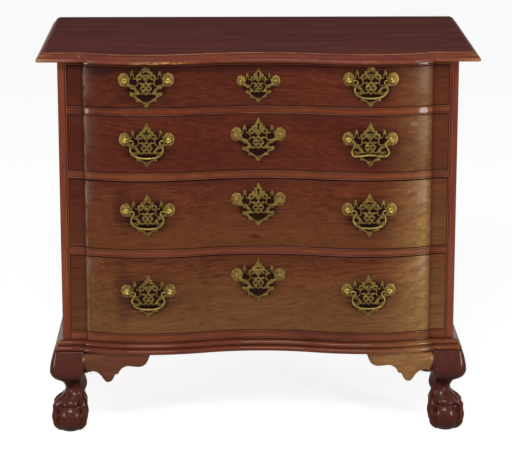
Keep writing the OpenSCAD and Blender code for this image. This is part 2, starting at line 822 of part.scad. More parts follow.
module escutcheon(i) {
    k = plate_scale[i];
    z = front_top(i) - plate_drop[i] - plate_up * k;
    color(brass)
    difference() {
        intersection() {
            hollow_sheet(z - (plate_down + 1) * k, z + (plate_up + 1) * k);
            translate([0, front_y + 10, z])
                rotate([90, 0, 0])
                linear_extrude(bulge)
                plate_shape(k);
        }
        if (i < 3)
            keyhole(i, bulge + 10);
        else
            translate([0, front_y + 10, z + plate_up - small_key_down])
                rotate([90, 0, 0])
                cylinder(bulge, key_r, key_r, $fn = 32);
    }
}

// Bails

// Half a bail from its pin to the middle, as shares of half the post span and of the drop
swan_bail = [
    [0.87, 0], [0.80, 0.04], [0.72, 0.06], [0.63, 0], [0.585, -0.14], [0.64, -0.34],
    [0.75, -0.52], [0.805, -0.70], [0.77, -0.88], [0.65, -0.98], [0.40, -1], [0.20, -0.99], [0, -0.985]
];
flat_bail = [
    [0.87, 0], [0.79, -0.03], [0.72, -0.09], [0.70, -0.19], [0.76, -0.36], [0.84, -0.56],
    [0.86, -0.72], [0.78, -0.86], [0.63, -0.90], [0.40, -0.88], [0.18, -0.83], [0, -0.82]
];

module bail_rod(half) {
    right = spline([for (p = half) [p[0] * post_half, p[1] * bail_drop]], 2);
    e = len(right) - 1;
    path = concat(right, [for (i = [e - 1 : -1 : 0]) [-right[i][0], right[i][1]]]);
    m = len(path) - 1;
    loft([for (k = [0 : m]) let (
        q = k == 0 || k == m ? [-1, 0] : path[k + 1] - path[k - 1],
        t = q / norm(q),
        r = rod_r * (0.9 + 0.35 * pow(1 - abs(k - e) / e, 2))
    ) [for (i = [0 : 7]) let (a = 45 * i)
        [path[k][0] + r * cos(a) * t[1], r * sin(a), path[k][1] - r * cos(a) * t[0]]]]);
}

module bail(i, s, half) {
    color(brass)
    translate([s * pull_x, axis_y, open_z[i] + post_z[i]]) {
        bail_rod(half);
        for (q = [-1, 1])
            translate([q * (0.87 * post_half - 0.5), 0, 0])
            rotate([0, q * 90, 0])
            cylinder(0.13 * post_half + 1.8, pin_r, pin_r, $fn = 32);
    }
}

// Locks

module lock(i) {
    top = front_top(i);
    color(iron)
    difference() {
        block(-lock_w / 2, lock_w / 2, front_rear_y - lock_in, front_rear_y + lock_proud, top - lock_h, top);
        block(-bolt_w / 2 - bolt_gap, bolt_w / 2 + bolt_gap, bolt_y - bolt_t / 2 - bolt_gap,
            bolt_y + bolt_t / 2 + bolt_gap, top - bolt_h - 2 * bolt_gap, top + 1);
        translate([0, front_rear_y - lock_in - 1, key_z(i)])
            rotate([-90, 0, 0])
            cylinder(lock_in - 1, key_r, key_r, $fn = 32);
    }
}

module lock_bolt(i) {
    top = front_top(i) - bolt_gap;
    color(brass)
    block(-bolt_w / 2, bolt_w / 2, bolt_y - bolt_t / 2, bolt_y + bolt_t / 2, top - bolt_h, top);
}

top_board();
side_left();
side_right();
backboards();
bottom_board();
top_rail();
for (i = [1 : 3])
    divider(i);
bottom_rail();
drawer_runners();
base_molding_front();
base_molding_left();
base_molding_right();
foot_front_left();
foot_front_right();
foot_rear_left();
foot_rear_right();
knee_brackets();
for (i = [0 : 3]) {
    drawer_front(i);
    drawer_sides(i);
    drawer_back(i);
    drawer_bottom(i);
    pull_plates(i);
    pull_posts(i);
    escutcheon(i);
}
for (i = [0 : 2]) {
    lock(i);
    lock_bolt(i);
}
bail(0, 1, swan_bail);  // bail_1_right
bail(1, -1, swan_bail);  // bail_2_left
bail(1, 1, flat_bail);  // bail_2_right
bail(2, -1, swan_bail);  // bail_3_left
bail(2, 1, swan_bail);  // bail_3_right
bail(3, -1, swan_bail);  // bail_4_left
bail(3, 1, swan_bail);  // bail_4_right
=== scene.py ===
import math
import random

import bmesh
import bpy
from mathutils import Matrix, Vector


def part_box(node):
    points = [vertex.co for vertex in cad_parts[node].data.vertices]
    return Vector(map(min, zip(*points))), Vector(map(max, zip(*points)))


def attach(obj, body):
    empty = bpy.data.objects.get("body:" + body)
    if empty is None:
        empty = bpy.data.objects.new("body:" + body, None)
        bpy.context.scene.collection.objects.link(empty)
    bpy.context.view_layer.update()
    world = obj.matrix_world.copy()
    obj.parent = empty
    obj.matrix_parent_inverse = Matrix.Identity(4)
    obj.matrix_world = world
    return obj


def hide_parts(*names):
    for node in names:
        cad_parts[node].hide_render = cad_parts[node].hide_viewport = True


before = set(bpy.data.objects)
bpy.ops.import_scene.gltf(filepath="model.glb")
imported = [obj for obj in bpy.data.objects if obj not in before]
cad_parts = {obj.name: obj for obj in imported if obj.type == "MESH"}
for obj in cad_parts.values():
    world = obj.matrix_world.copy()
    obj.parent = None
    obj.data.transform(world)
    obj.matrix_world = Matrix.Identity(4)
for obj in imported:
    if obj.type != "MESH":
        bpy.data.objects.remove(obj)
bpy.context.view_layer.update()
mm = 0.001
dice = random.Random(7)
scene = bpy.context.scene
print("frame loaded with", len(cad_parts), "nodes")

# measures, taken from the solids where a box gives them
sideLow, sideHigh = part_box("side_right")
topLow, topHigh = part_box("top_board")
case = {
    "halfWidth": sideHigh.x,
    "innerX": sideLow.x,
    "frontY": sideLow.y,
    "backY": sideHigh.y,
    "baseZ": sideLow.z,
    "topZ": sideHigh.z,
    "legTop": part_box("base_molding_front")[0].z,
    "beadWidth": 3.2 * mm,
    "beadOut": 1.4 * mm,
}
front = {
    "bulge": 32 * mm,
    "crestX": 256 * mm,
    "arrisX": 391 * mm,
    "stepRadius": 9 * mm,
    "faceOut": -1 * mm,
    "steps": (12, 12, 12, 9, 2),    # stations to each stretch, from the middle to the end
}
bulge, crestX, arrisX = front["bulge"], front["crestX"], front["arrisX"]
innerRadius = ((crestX / 2) ** 2 + (bulge / 2) ** 2) / bulge
innerAngle = math.asin(crestX / 2 / innerRadius)
outerRun = arrisX - crestX - front["stepRadius"]
outerCore = (outerRun ** 2 + (bulge - front["stepRadius"]) ** 2) / (2 * (bulge - front["stepRadius"]))
outerRadius = outerCore + front["stepRadius"]
outerAngle = math.asin(outerRun / outerCore)


# where the serpentine runs: u goes from 0 in the middle to 5 at the end, out is the offset forward
def frontPoint(u, out, endX):
    side, u = (-1, -u) if u < 0 else (1, u)
    step = front["stepRadius"]
    lastAngle = math.acos(out / (step + out))
    if u <= 1:
        a = innerAngle * u
        x, depth = (innerRadius - out) * math.sin(a), innerRadius - (innerRadius - out) * math.cos(a)
    elif u <= 2:
        a = innerAngle * (u - 2)
        x = crestX + (innerRadius + out) * math.sin(a)
        depth = bulge - innerRadius + (innerRadius + out) * math.cos(a)
    elif u <= 3:
        a = outerAngle * (u - 2)
        x = crestX + (outerRadius + out) * math.sin(a)
        depth = bulge - outerRadius + (outerRadius + out) * math.cos(a)
    else:
        a = outerAngle + (lastAngle - outerAngle) * min(u - 3, 1)
        x, depth = arrisX - step + (step + out) * math.sin(a), (step + out) * math.cos(a)
        if u > 4:
            x, depth = x + (endX - x) * (u - 4), out
    return side * x, case["frontY"] - depth


def frontStations():
    half = [k + i / n for k, n in enumerate(front["steps"]) for i in range(n)] + [5]
    return sorted({-u for u in half} | set(half))


# depth of the serpentine in front of the flat ends at a place along X, away from the steps
def faceDepth(x, out):
    x = abs(x)
    if x <= crestX / 2:
        return innerRadius - math.sqrt((innerRadius - out) ** 2 - x * x)
    if x <= crestX:
        return bulge - innerRadius + math.sqrt((innerRadius + out) ** 2 - (x - crestX) ** 2)
    return bulge - outerRadius + math.sqrt((outerRadius + out) ** 2 - (x - crestX) ** 2)


# a smooth line through chosen points, n steps between each two
def smoothLine(points, n):
    last = len(points) - 1
    line = []
    for i in range(last):
        p0, p1, p2, p3 = points[max(i - 1, 0)], points[i], points[i + 1], points[min(i + 2, last)]
        for k in range(n):
            t = k / n
            line.append(tuple(0.5 * (2 * b + (c - a) * t + (2 * a - 5 * b + 4 * c - d) * t * t
                                     + (3 * b - a - 3 * c + d) * t ** 3)
                              for a, b, c, d in zip(p0, p1, p2, p3)))
    return line + [tuple(points[-1])]


# a grid whose rows of vertices are moved to their places, merged where they meet, with its ends filled
def skin(rows):
    bm = bmesh.new()
    bmesh.ops.create_grid(bm, x_segments=len(rows[0]) - 1, y_segments=len(rows) - 1, size=1)
    for vert, place in zip(bm.verts, [p for row in rows for p in row]):
        vert.co = place
    bmesh.ops.remove_doubles(bm, verts=bm.verts, dist=1e-6)
    bmesh.ops.holes_fill(bm, edges=[e for e in bm.edges if e.is_boundary], sides=0)
    bmesh.ops.recalc_face_normals(bm, faces=bm.faces)
    return bm


def closedRow(points):
    return list(points) + [points[0]]


# several meshes as one
def gather(parts):
    whole = bmesh.new()
    for part in parts:
        held = bpy.data.meshes.new("held")
        part.to_mesh(held)
        part.free()
        whole.from_mesh(held)
        bpy.data.meshes.remove(held)
    return whole


# a copy on the other side of the middle
def mirrored(bm):
    other = bm.copy()
    bmesh.ops.scale(other, vec=(-1, 1, 1), verts=other.verts)
    bmesh.ops.reverse_faces(other, faces=other.faces)
    return other


def moved(bm, by=(0, 0, 0), turn=None):
    if turn:
        bmesh.ops.rotate(bm, cent=(0, 0, 0), matrix=Matrix.Rotation(turn[0], 3, turn[1]), verts=bm.verts)
    bmesh.ops.translate(bm, vec=by, verts=bm.verts)
    return bm


# the mesh as one modifier leaves it
def applied(bm, kind, tool=None, **settings):
    held = []
    for part in [bm] + ([tool] if tool else []):
        mesh = bpy.data.meshes.new("held")
        part.to_mesh(mesh)
        part.free()
        obj = bpy.data.objects.new("held", mesh)
        scene.collection.objects.link(obj)
        held.append(obj)
    modifier = held[0].modifiers.new("held", kind)
    if tool:
        modifier.object = held[1]
    for key, value in settings.items():
        setattr(modifier, key, value)
    bpy.context.view_layer.update()
    result = bmesh.new()
    result.from_object(held[0], bpy.context.evaluated_depsgraph_get())
    for obj in held:
        mesh = obj.data
        bpy.data.objects.remove(obj)
        bpy.data.meshes.remove(mesh)
    return result


def carved(bm, cutters):
    return applied(bm, "BOOLEAN", gather(cutters), operation="DIFFERENCE", solver="EXACT")


# a board with eased edges
def board(low, high, ease=1.0 * mm, segments=2):
    low, high = Vector(low), Vector(high)
    bm = bmesh.new()
    bmesh.ops.create_cube(bm, size=1)
    bmesh.ops.scale(bm, vec=high - low, verts=bm.verts)
    bmesh.ops.translate(bm, vec=(low + high) / 2, verts=bm.verts)
    if ease:
        bmesh.ops.bevel(bm, geom=bm.edges[:], offset=ease, segments=segments, profile=0.5,
                        affect="EDGES", material=-1, clamp_overlap=True)
    return bm


# a solid of revolution round Y, from (radius, distance along -Y) points in millimetres
def turned(profile, steps=32):
    bm = bmesh.new()
    verts = [bm.verts.new((r * mm, -y * mm, 0)) for r, y in profile]
    edges = [bm.edges.new(pair) for pair in zip(verts, verts[1:])]
    bmesh.ops.spin(bm, geom=verts + edges, cent=(0, 0, 0), axis=(0, 1, 0), dvec=(0, 0, 0),
                   angle=2 * math.pi, steps=steps, use_merge=True)
    bmesh.ops.remove_doubles(bm, verts=bm.verts, dist=1e-6)
    bmesh.ops.recalc_face_normals(bm, faces=bm.faces)
    return bm


# a rod along a line in the XZ plane, with a radius for each point
def rod(path, radii, sides=12):
    rows = []
    last = len(path) - 1
    turns = [2 * math.pi * i / sides for i in range(sides)]
    for k, ((x, z), r) in enumerate(zip(path, radii)):
        along = (Vector(path[min(k + 1, last)]) - Vector(path[max(k - 1, 0)])).normalized()
        rows.append(closedRow([(x + r * math.cos(a) * along[1], r * math.sin(a),
                                z - r * math.cos(a) * along[0]) for a in turns]))
    return skin(rows)


# makes the object: shaded smooth but for its sharp edges, riding on its body
def piece(name, bm, body, finish, replaces=(), sharp=34, weighted=False):
    mesh = bpy.data.meshes.new(name)
    bm.to_mesh(mesh)
    bm.free()
    mesh.shade_smooth()
    mesh.set_sharp_from_angle(angle=math.radians(sharp))
    mesh.materials.clear()
    mesh.materials.append(finish)
    obj = bpy.data.objects.new(name, mesh)
    scene.collection.objects.link(obj)
    if weighted:
        obj.modifiers.new("weights", "WEIGHTED_NORMAL").keep_sharp = True
    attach(obj, body)
    if replaces:
        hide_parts(*replaces)
    return obj


# a socket that takes part in sums, so that shader maths reads as plain arithmetic
class Signal:
    def __init__(self, nodes, socket):
        self.nodes, self.socket = nodes, socket

    def sum(self, operation, first, second):
        return self.nodes.add("ShaderNodeMath", {"operation": operation}, {0: first, 1: second})

    def __add__(self, other): return self.sum("ADD", self, other)
    def __radd__(self, other): return self.sum("ADD", other, self)
    def __sub__(self, other): return self.sum("SUBTRACT", self, other)
    def __rsub__(self, other): return self.sum("SUBTRACT", other, self)
    def __mul__(self, other): return self.sum("MULTIPLY", self, other)
    def __rmul__(self, other): return self.sum("MULTIPLY", other, self)
    def __truediv__(self, other): return self.sum("DIVIDE", self, other)


class Nodes:
    def __init__(self, tree):
        self.tree = tree
        tree.nodes.clear()

    # any node: its settings first, then the values or links of its sockets
    def add(self, kind, settings=None, inputs=None, output=0):
        node = self.tree.nodes.new(kind)
        for key, value in (settings or {}).items():
            if key == "stops":
                ends = node.color_ramp.elements
                for end, (position, colour) in zip((ends[0], ends[1]), (value[0], value[-1])):
                    end.position, end.color = position, colour
                for position, colour in value[1:-1]:
                    ends.new(position).color = colour
            else:
                setattr(node, key, value)
        for key, value in (inputs or {}).items():
            if isinstance(value, Signal):
                self.tree.links.new(value.socket, node.inputs[key])
            else:
                node.inputs[key].default_value = value
        return Signal(self, node.outputs[output]) if node.outputs else None


# a material and what its pattern is made from
class Finish(Nodes):
    def __init__(self, name):
        self.material = bpy.data.materials.new(name)
        self.material.use_nodes = True
        super().__init__(self.material.node_tree)
        self.place = self.add("ShaderNodeTexCoord", output="Object")

    # one coordinate of the place on the object
    def axis(self, k):
        return self.add("ShaderNodeSeparateXYZ", {}, {0: self.place}, output=k)

    # how far the surface faces up: 1 on a level top, -1 underneath
    def facingUp(self):
        facing = self.add("ShaderNodeNewGeometry", output="Normal")
        return self.add("ShaderNodeSeparateXYZ", {}, {0: facing}, output=2)

    # 1 in the open, less in corners nearer than the reach
    def openness(self, reach):
        return self.add("ShaderNodeAmbientOcclusion", {"samples": 6}, {"Distance": reach}, output="AO")

    def noise(self, vector, scale, detail=2.0, roughness=0.5, distortion=0.0):
        return self.add("ShaderNodeTexNoise", {}, {"Vector": vector, "Scale": scale, "Detail": detail,
                                                   "Roughness": roughness, "Distortion": distortion})

    def stretched(self, scale, location=(0, 0, 0)):
        return self.add("ShaderNodeMapping", {}, {"Vector": self.place, "Location": location, "Scale": scale})

    # drawn out by the same shares, along lines that slope by an angle as seen from the front
    def slanted(self, scale, location, angle):
        return self.add("ShaderNodeMapping", {"vector_type": "TEXTURE"}, {
            "Vector": self.place, "Location": location, "Rotation": (0, angle, 0),
            "Scale": tuple(1 / s for s in scale)})

    # a value's low and high mark spread to 0 and 1
    def spread(self, value, low, high, floor=0.0, top=1.0):
        return self.add("ShaderNodeMapRange", {"clamp": True}, {0: value, 1: low, 2: high, 3: floor, 4: top})

    def mix(self, share, first, second):
        return self.add("ShaderNodeMix", {"data_type": "RGBA"}, {0: share, 6: first, 7: second}, output=2)

    def done(self, inputs, bump=None, strength=0.3, distance=0.4 * mm):
        if bump is not None:
            inputs["Normal"] = self.add("ShaderNodeBump", {}, {"Strength": strength, "Distance": distance,
                                                               "Height": bump})
        shader = self.add("ShaderNodeBsdfPrincipled", {}, inputs)
        self.add("ShaderNodeOutputMaterial", {}, {"Surface": shader})
        return self.material


def shade(r, g, b):
    return (r, g, b, 1.0)


# how far each layer of the wood is drawn out along the grain, and how fine it is
woodLayers = {
    "figureDrawn": 0.16,
    "streaksDrawn": 0.07,
    "fineDrawn": 0.022,
    "fibres": 300,
    "pores": 900,
    "blotches": 6.0,
    "rubs": 45,
}


# polished wood: broad figure, streaks and growth lines, fine fibres, pores, rubbed edges, and dirt with painted
# shade in its corners
def woodFinish(name, look):
    wood = Finish(name)
    along = "xyz".index(look["grain"])
    offset = look.get("offset", (0, 0, 0))

    def drawnOut(share):
        scale = [1.0, 1.0, 1.0]
        scale[along] = share
        if "slant" in look:
            return wood.slanted(scale, offset, math.radians(look["slant"]))
        return wood.stretched(scale, offset)

    broad = wood.noise(drawnOut(woodLayers["figureDrawn"]), look["figure"], 3, 0.5, 0.4)
    streaks = wood.noise(drawnOut(woodLayers["streaksDrawn"]), look["streaks"], 4, 0.62, 0.6)
    finePlace = drawnOut(woodLayers["fineDrawn"])
    fibres = wood.noise(finePlace, woodLayers["fibres"], 3, 0.6)
    pores = wood.spread(wood.noise(finePlace, woodLayers["pores"], 2, 0.5), 0.60, 0.70)
    blotch = wood.noise(wood.place, woodLayers["blotches"], 3, 0.55)
    lines = wood.add("ShaderNodeMath", {"operation": "SINE"}, {0: (broad + streaks * 0.25) * look["lines"]})
    tone = wood.spread(broad * 0.42 + streaks * 0.43 + blotch * 0.15, *look["toneRange"])
    colour = wood.mix(tone, look["dark"], look["mid"])
    colour = wood.mix(wood.spread(lines, -0.2, 1.0, 0.0, look["lineShare"]) * tone, colour, look["light"])
    for patch in look.get("patches", ()):
        colour = wood.mix(patch["mask"](wood, streaks), colour, patch["colour"])
    colour = wood.mix(wood.spread(fibres, 0.30, 0.70, look["fibreShare"], 0.0), colour, look["dark"])
    colour = wood.mix(pores * look["poreShare"], colour, look["pore"])
    coat = look["coat"]
    worn = look.get("worn")
    if worn:
        rub = wood.add("ShaderNodeNewGeometry", output="Pointiness")
        rub = rub + (wood.noise(wood.place, woodLayers["rubs"], 3) - 0.5) * 0.03
        share = wood.spread(rub, worn["from"], worn["to"], 0, worn["share"])
        if "flatCoat" in look:    # a level field has its own coat, and no rubbed edge inside it
            up = wood.facingUp()
            coat = wood.spread(up, 0.80, 0.97, look["coat"], look["flatCoat"])
            share = share * wood.spread(up, 0.97, 0.995, 1.0, 0.0)
        colour = wood.mix(share, colour, worn["colour"])
    # dirt and painted shade: darker where other surfaces come near, by ambient occlusion
    dirtAndShade = look["dirtAndShade"]
    colour = wood.mix(wood.spread(wood.openness(dirtAndShade["reach"]), 0.25, 0.85, dirtAndShade["share"], 0.0), colour,
                      dirtAndShade["colour"])
    rough = wood.spread(blotch + (fibres - 0.5) * 0.5, 0.3, 0.7, look["rough"] - 0.05, look["rough"] + 0.07)
    return wood.done({"Base Color": colour, "Roughness": rough, "Specular IOR Level": look["gloss"],
                      "Specular Tint": look["sheen"], "Coat Weight": coat,
                      "Coat Roughness": look["coatRough"]},
                     bump=fibres * 0.5 - pores * 0.6, strength=look["bump"], distance=0.25 * mm)


mahogany = {
    "dark": shade(0.036, 0.0060, 0.0040),
    "mid": shade(0.100, 0.019, 0.009),
    "light": shade(0.145, 0.034, 0.013),
    "pore": shade(0.022, 0.006, 0.004),
    "figure": 9.0, "streaks": 95.0, "lines": 40.0,
    "lineShare": 0.35, "fibreShare": 0.48, "poreShare": 0.45, "toneRange": (0.40, 0.60),
    "rough": 0.33, "gloss": 0.11, "sheen": shade(1.0, 0.72, 0.40), "coat": 0.10, "coatRough": 0.07,
    "bump": 0.10,
    "dirtAndShade": {"reach": 5 * mm, "share": 0.85, "colour": shade(0.010, 0.004, 0.003)},
}
lightMahogany = dict(mahogany, dark=shade(0.078, 0.015, 0.007), mid=shade(0.140, 0.031, 0.012),
                     light=shade(0.190, 0.050, 0.017), figure=12.0, lines=26.0)
pine = {
    "dark": shade(0.26, 0.135, 0.060),
    "mid": shade(0.43, 0.255, 0.120),
    "light": shade(0.30, 0.150, 0.062),
    "pore": shade(0.20, 0.10, 0.05),
    "figure": 5.0, "streaks": 30.0, "lines": 80.0,
    "lineShare": 0.55, "fibreShare": 0.25, "poreShare": 0.15, "toneRange": (0.40, 0.60),
    "rough": 0.68, "gloss": 0.25, "sheen": shade(1.0, 0.9, 0.75), "coat": 0.0, "coatRough": 0.1,
    "bump": 0.25,
    "dirtAndShade": {"reach": 12 * mm, "share": 0.5, "colour": shade(0.07, 0.035, 0.018)},
}
wornEdge = {"from": 0.54, "to": 0.64, "share": 0.5, "colour": shade(0.22, 0.070, 0.024)}


# a painted sheen where the swell turns to one side: how its ripples run, and how far inside the arris it ends
paintedSheen = {"slant": 17, "drawn": 0.16, "ripples": 70, "full": 12 * mm, "endFrom": 17 * mm, "endTo": 2 * mm,
        "endShare": 0.15}


# a soft-edged oval on the face, full inside the share "core" of its half sizes
def ovalMask(x, z, halfX, halfZ, share, core=0.0, bothSides=False):
    def mask(wood, streaks):
        across = wood.axis(0)
        if bothSides:
            across = wood.add("ShaderNodeMath", {"operation": "ABSOLUTE"}, {0: across})
        dx, dz = (across - x) / halfX, (wood.axis(2) - z) / halfZ
        return wood.spread(dx * dx + dz * dz + (streaks - 0.5) * 0.9, core, 1.0, share, 0.0)
    return mask


# where the swell turns to one side it is painted with a light sheen, in slanting ripples
def paintedSheenMask(side, share, reach):
    def mask(wood, streaks):
        x = wood.axis(0) * side
        slanted = wood.slanted((paintedSheen["drawn"], 1, 1), (0, 0, 0), math.radians(-paintedSheen["slant"]) * side)
        ripple = wood.noise(slanted, paintedSheen["ripples"], 3, 0.55, 0.3)
        rise = wood.spread(x, arrisX - reach, arrisX - paintedSheen["full"])
        end = wood.spread(x, arrisX - paintedSheen["endFrom"], arrisX - paintedSheen["endTo"], 1.0, paintedSheen["endShare"])
        return rise * rise * end * wood.spread(ripple * 0.6 + streaks * 0.4, 0.36, 0.60, 0.45, 1.0) * share
    return mask


# a flat end, past the step
def endMask(side, share):
    def mask(wood, streaks):
        return wood.spread(wood.axis(0) * side, arrisX - 3 * mm, arrisX + 2 * mm, 0.0, share)
    return mask


# a painted highlight down the rounded arris of the swell, broken in short scratches
def arrisHighlightMask(side, share):
    def mask(wood, streaks):
        x = wood.axis(0) * side
        scratch = wood.noise(wood.stretched((1, 1, 0.25)), 260, 3, 0.6)
        line = wood.spread(x, arrisX - 9 * mm, arrisX - 5 * mm)
        line = line * wood.spread(x, arrisX - 5 * mm, arrisX - 1 * mm, 1.0, 0.0)
        return line * wood.spread(scratch, 0.42, 0.60) * share
    return mask


# from nothing at one height to its full share at another, broken up by the streaks
def heightMask(z0, z1, share):
    def mask(wood, streaks):
        return wood.spread(wood.axis(2) + (streaks - 0.5) * (z1 - z0) * 0.8, z0, z1, 0.0, share)
    return mask


# bare flecks along the lower edge of the top, left of the middle
def fleckMask(wood, streaks):
    fleck = wood.noise(wood.stretched((0.5, 1, 1)), 150, 3, 0.6)
    oval = ovalMask(-217 * mm, topLow.z + 2 * mm, 70 * mm, 4 * mm, 1.0, 0.3)
    return oval(wood, streaks) * wood.spread(fleck, 0.46, 0.56)


# all that lies well to the right of the middle
def rightMask(share):
    def mask(wood, streaks):
        far = wood.spread(wood.axis(0), 200 * mm, 290 * mm)
        return far * wood.spread(streaks, 0.30, 0.55, 0.7, 1.0) * share
    return mask


# the moulded edge, lighter than the flat field
def edgeMask(wood, streaks):
    return wood.spread(wood.facingUp(), 0.80, 0.97, 0.7, 0.0) * wood.spread(streaks, 0.34, 0.52, 0.25, 1.0)


# the arris round the flat field, rubbed pale and with a painted highlight
def arrisWearAndHighlightMask(wood, streaks):
    z = wood.axis(2)
    line = wood.spread(z, topHigh.z - 1.9 * mm, topHigh.z - 1.4 * mm)
    line = line * wood.spread(z, topHigh.z - 0.12 * mm, topHigh.z - 0.02 * mm, 1.0, 0.0)
    return line * wood.spread(streaks, 0.40, 0.55, 0.35, 0.9)


# painted shade: faces turned to the floor are painted near black, as in the shadow under the knee
def underShadeMask(wood, streaks):
    return wood.spread(wood.facingUp(), -0.70, -0.20, 0.85, 0.0)


def patch(mask, r, g, b):
    return {"mask": mask, "colour": shade(r, g, b)}


topFinish = woodFinish("topMahogany", dict(
    mahogany, grain="x", dark=shade(0.090, 0.014, 0.013), mid=shade(0.155, 0.027, 0.017),
    light=shade(0.210, 0.050, 0.018), streaks=60.0, lineShare=0.5, fibreShare=0.5, rough=0.45, gloss=0.0,
    coat=0.3, flatCoat=0.04, coatRough=0.15,
    worn={"from": 0.525, "to": 0.60, "share": 0.70, "colour": shade(0.40, 0.19, 0.075)},
    # the arris line is partly a painted highlight
    patches=[patch(edgeMask, 0.165, 0.042, 0.015), patch(arrisWearAndHighlightMask, 0.42, 0.19, 0.085),
             patch(fleckMask, 0.50, 0.29, 0.045)]))
sideFinish = woodFinish("sideMahogany", dict(
    lightMahogany, grain="z", offset=(0.3, 0.1, 0), gloss=0.2, mid=shade(0.158, 0.036, 0.016),
    dark=shade(0.092, 0.018, 0.010)))
# the legs: strong dirt and painted shade in their creases, and painted shade on faces turned to the floor
legFinish = woodFinish("legMahogany", dict(
    mahogany, grain="z", worn=dict(wornEdge, share=0.4), rough=0.30, coat=0.25, coatRough=0.06,
    dark=shade(0.040, 0.006, 0.004), mid=shade(0.074, 0.012, 0.006), light=shade(0.108, 0.025, 0.009),
    dirtAndShade={"reach": 9 * mm, "share": 0.95, "colour": shade(0.006, 0.002, 0.002)},
    patches=[patch(underShadeMask, 0.008, 0.003, 0.003)]))
# the rails' golden patch on the right swell is a painted sheen
railFinish = woodFinish("railMahogany", dict(
    lightMahogany, grain="x", offset=(0.7, 0, 0), coat=0.24, mid=shade(0.168, 0.040, 0.013),
    light=shade(0.225, 0.064, 0.020), worn=dict(wornEdge, share=0.35),
    patches=[patch(paintedSheenMask(1, 0.40, 150 * mm), 0.300, 0.130, 0.040)]))
# the moulding's golden patch on the right swell is a painted sheen
mouldFinish = woodFinish("mouldingMahogany", dict(
    lightMahogany, grain="x", worn=wornEdge, offset=(1.7, 0, 0), rough=0.30, coat=0.22,
    patches=[patch(paintedSheenMask(1, 0.70, 210 * mm), 0.330, 0.155, 0.042)]))
sideMouldFinish = woodFinish("sideMouldingMahogany", dict(
    lightMahogany, grain="y", worn=wornEdge, rough=0.30, coat=0.15))
bracketLook = dict(
    lightMahogany, worn=wornEdge, rough=0.30, coat=0.35, dark=shade(0.075, 0.018, 0.008),
    mid=shade(0.130, 0.038, 0.012), light=shade(0.195, 0.070, 0.020))
bracketFinish = woodFinish("bracketMahogany", dict(
    bracketLook, grain="x", offset=(2.9, 0.4, 0), patches=[patch(rightMask(0.72), 0.290, 0.145, 0.042)]))
sideBracketFinish = woodFinish("sideBracketMahogany", dict(bracketLook, grain="y"))

# each drawer front's tones, the lower drawers lighter partly as a painted reflection of the floor. The shares of
# painted sheen go with its right and left swell, low is the share and colour of a lighter painted reflection
# towards its lower edge, high the share and height of the shade under the rail. A dark mark, on the first drawer
# painted shadow under the top, or a scuff is its place across, down from the upper edge, half width, half height
# and share, in millimetres.
drawerLooks = [
    {"mid": shade(0.106, 0.0215, 0.0108), "light": shade(0.152, 0.040, 0.0150), "slant": 2,
     "right": 0.40, "left": 0.0, "low": (0.10, shade(0.150, 0.038, 0.014)), "high": (0.60, 12),
     "darkMarksAndShade": [(-352, -10, 44, 11, 0.9)], "scuffs": []},
    {"mid": shade(0.098, 0.0190, 0.0095), "light": shade(0.144, 0.036, 0.0135), "slant": 6,
     "right": 0.50, "left": 0.05, "low": (0.20, shade(0.125, 0.027, 0.012)), "high": (0.40, 14),
     "darkMarksAndShade": [(-318, -21, 16, 3.2, 0.8), (-345, -44, 22, 5, 0.5)], "scuffs": [(347, -20, 11, 7, 0.55)]},
    {"mid": shade(0.118, 0.027, 0.012), "light": shade(0.172, 0.050, 0.018), "slant": -3,
     "right": 0.98, "left": 0.0, "low": (0.42, shade(0.158, 0.060, 0.020)), "high": (0.35, 22),
     "darkMarksAndShade": [(-8, -134, 16, 6, 0.85), (-304, -60, 26, 75, 0.42)], "scuffs": []},
    {"mid": shade(0.134, 0.038, 0.014), "light": shade(0.190, 0.066, 0.022), "slant": -5,
     "right": 1.0, "left": 0.10, "low": (0.62, shade(0.182, 0.086, 0.030)), "high": (0.20, 22),
     "darkMarksAndShade": [(-218, -15, 11, 3, 0.7), (-60, -150, 13, 3, 0.6), (-304, -80, 28, 95, 0.5)], "scuffs": []},
]
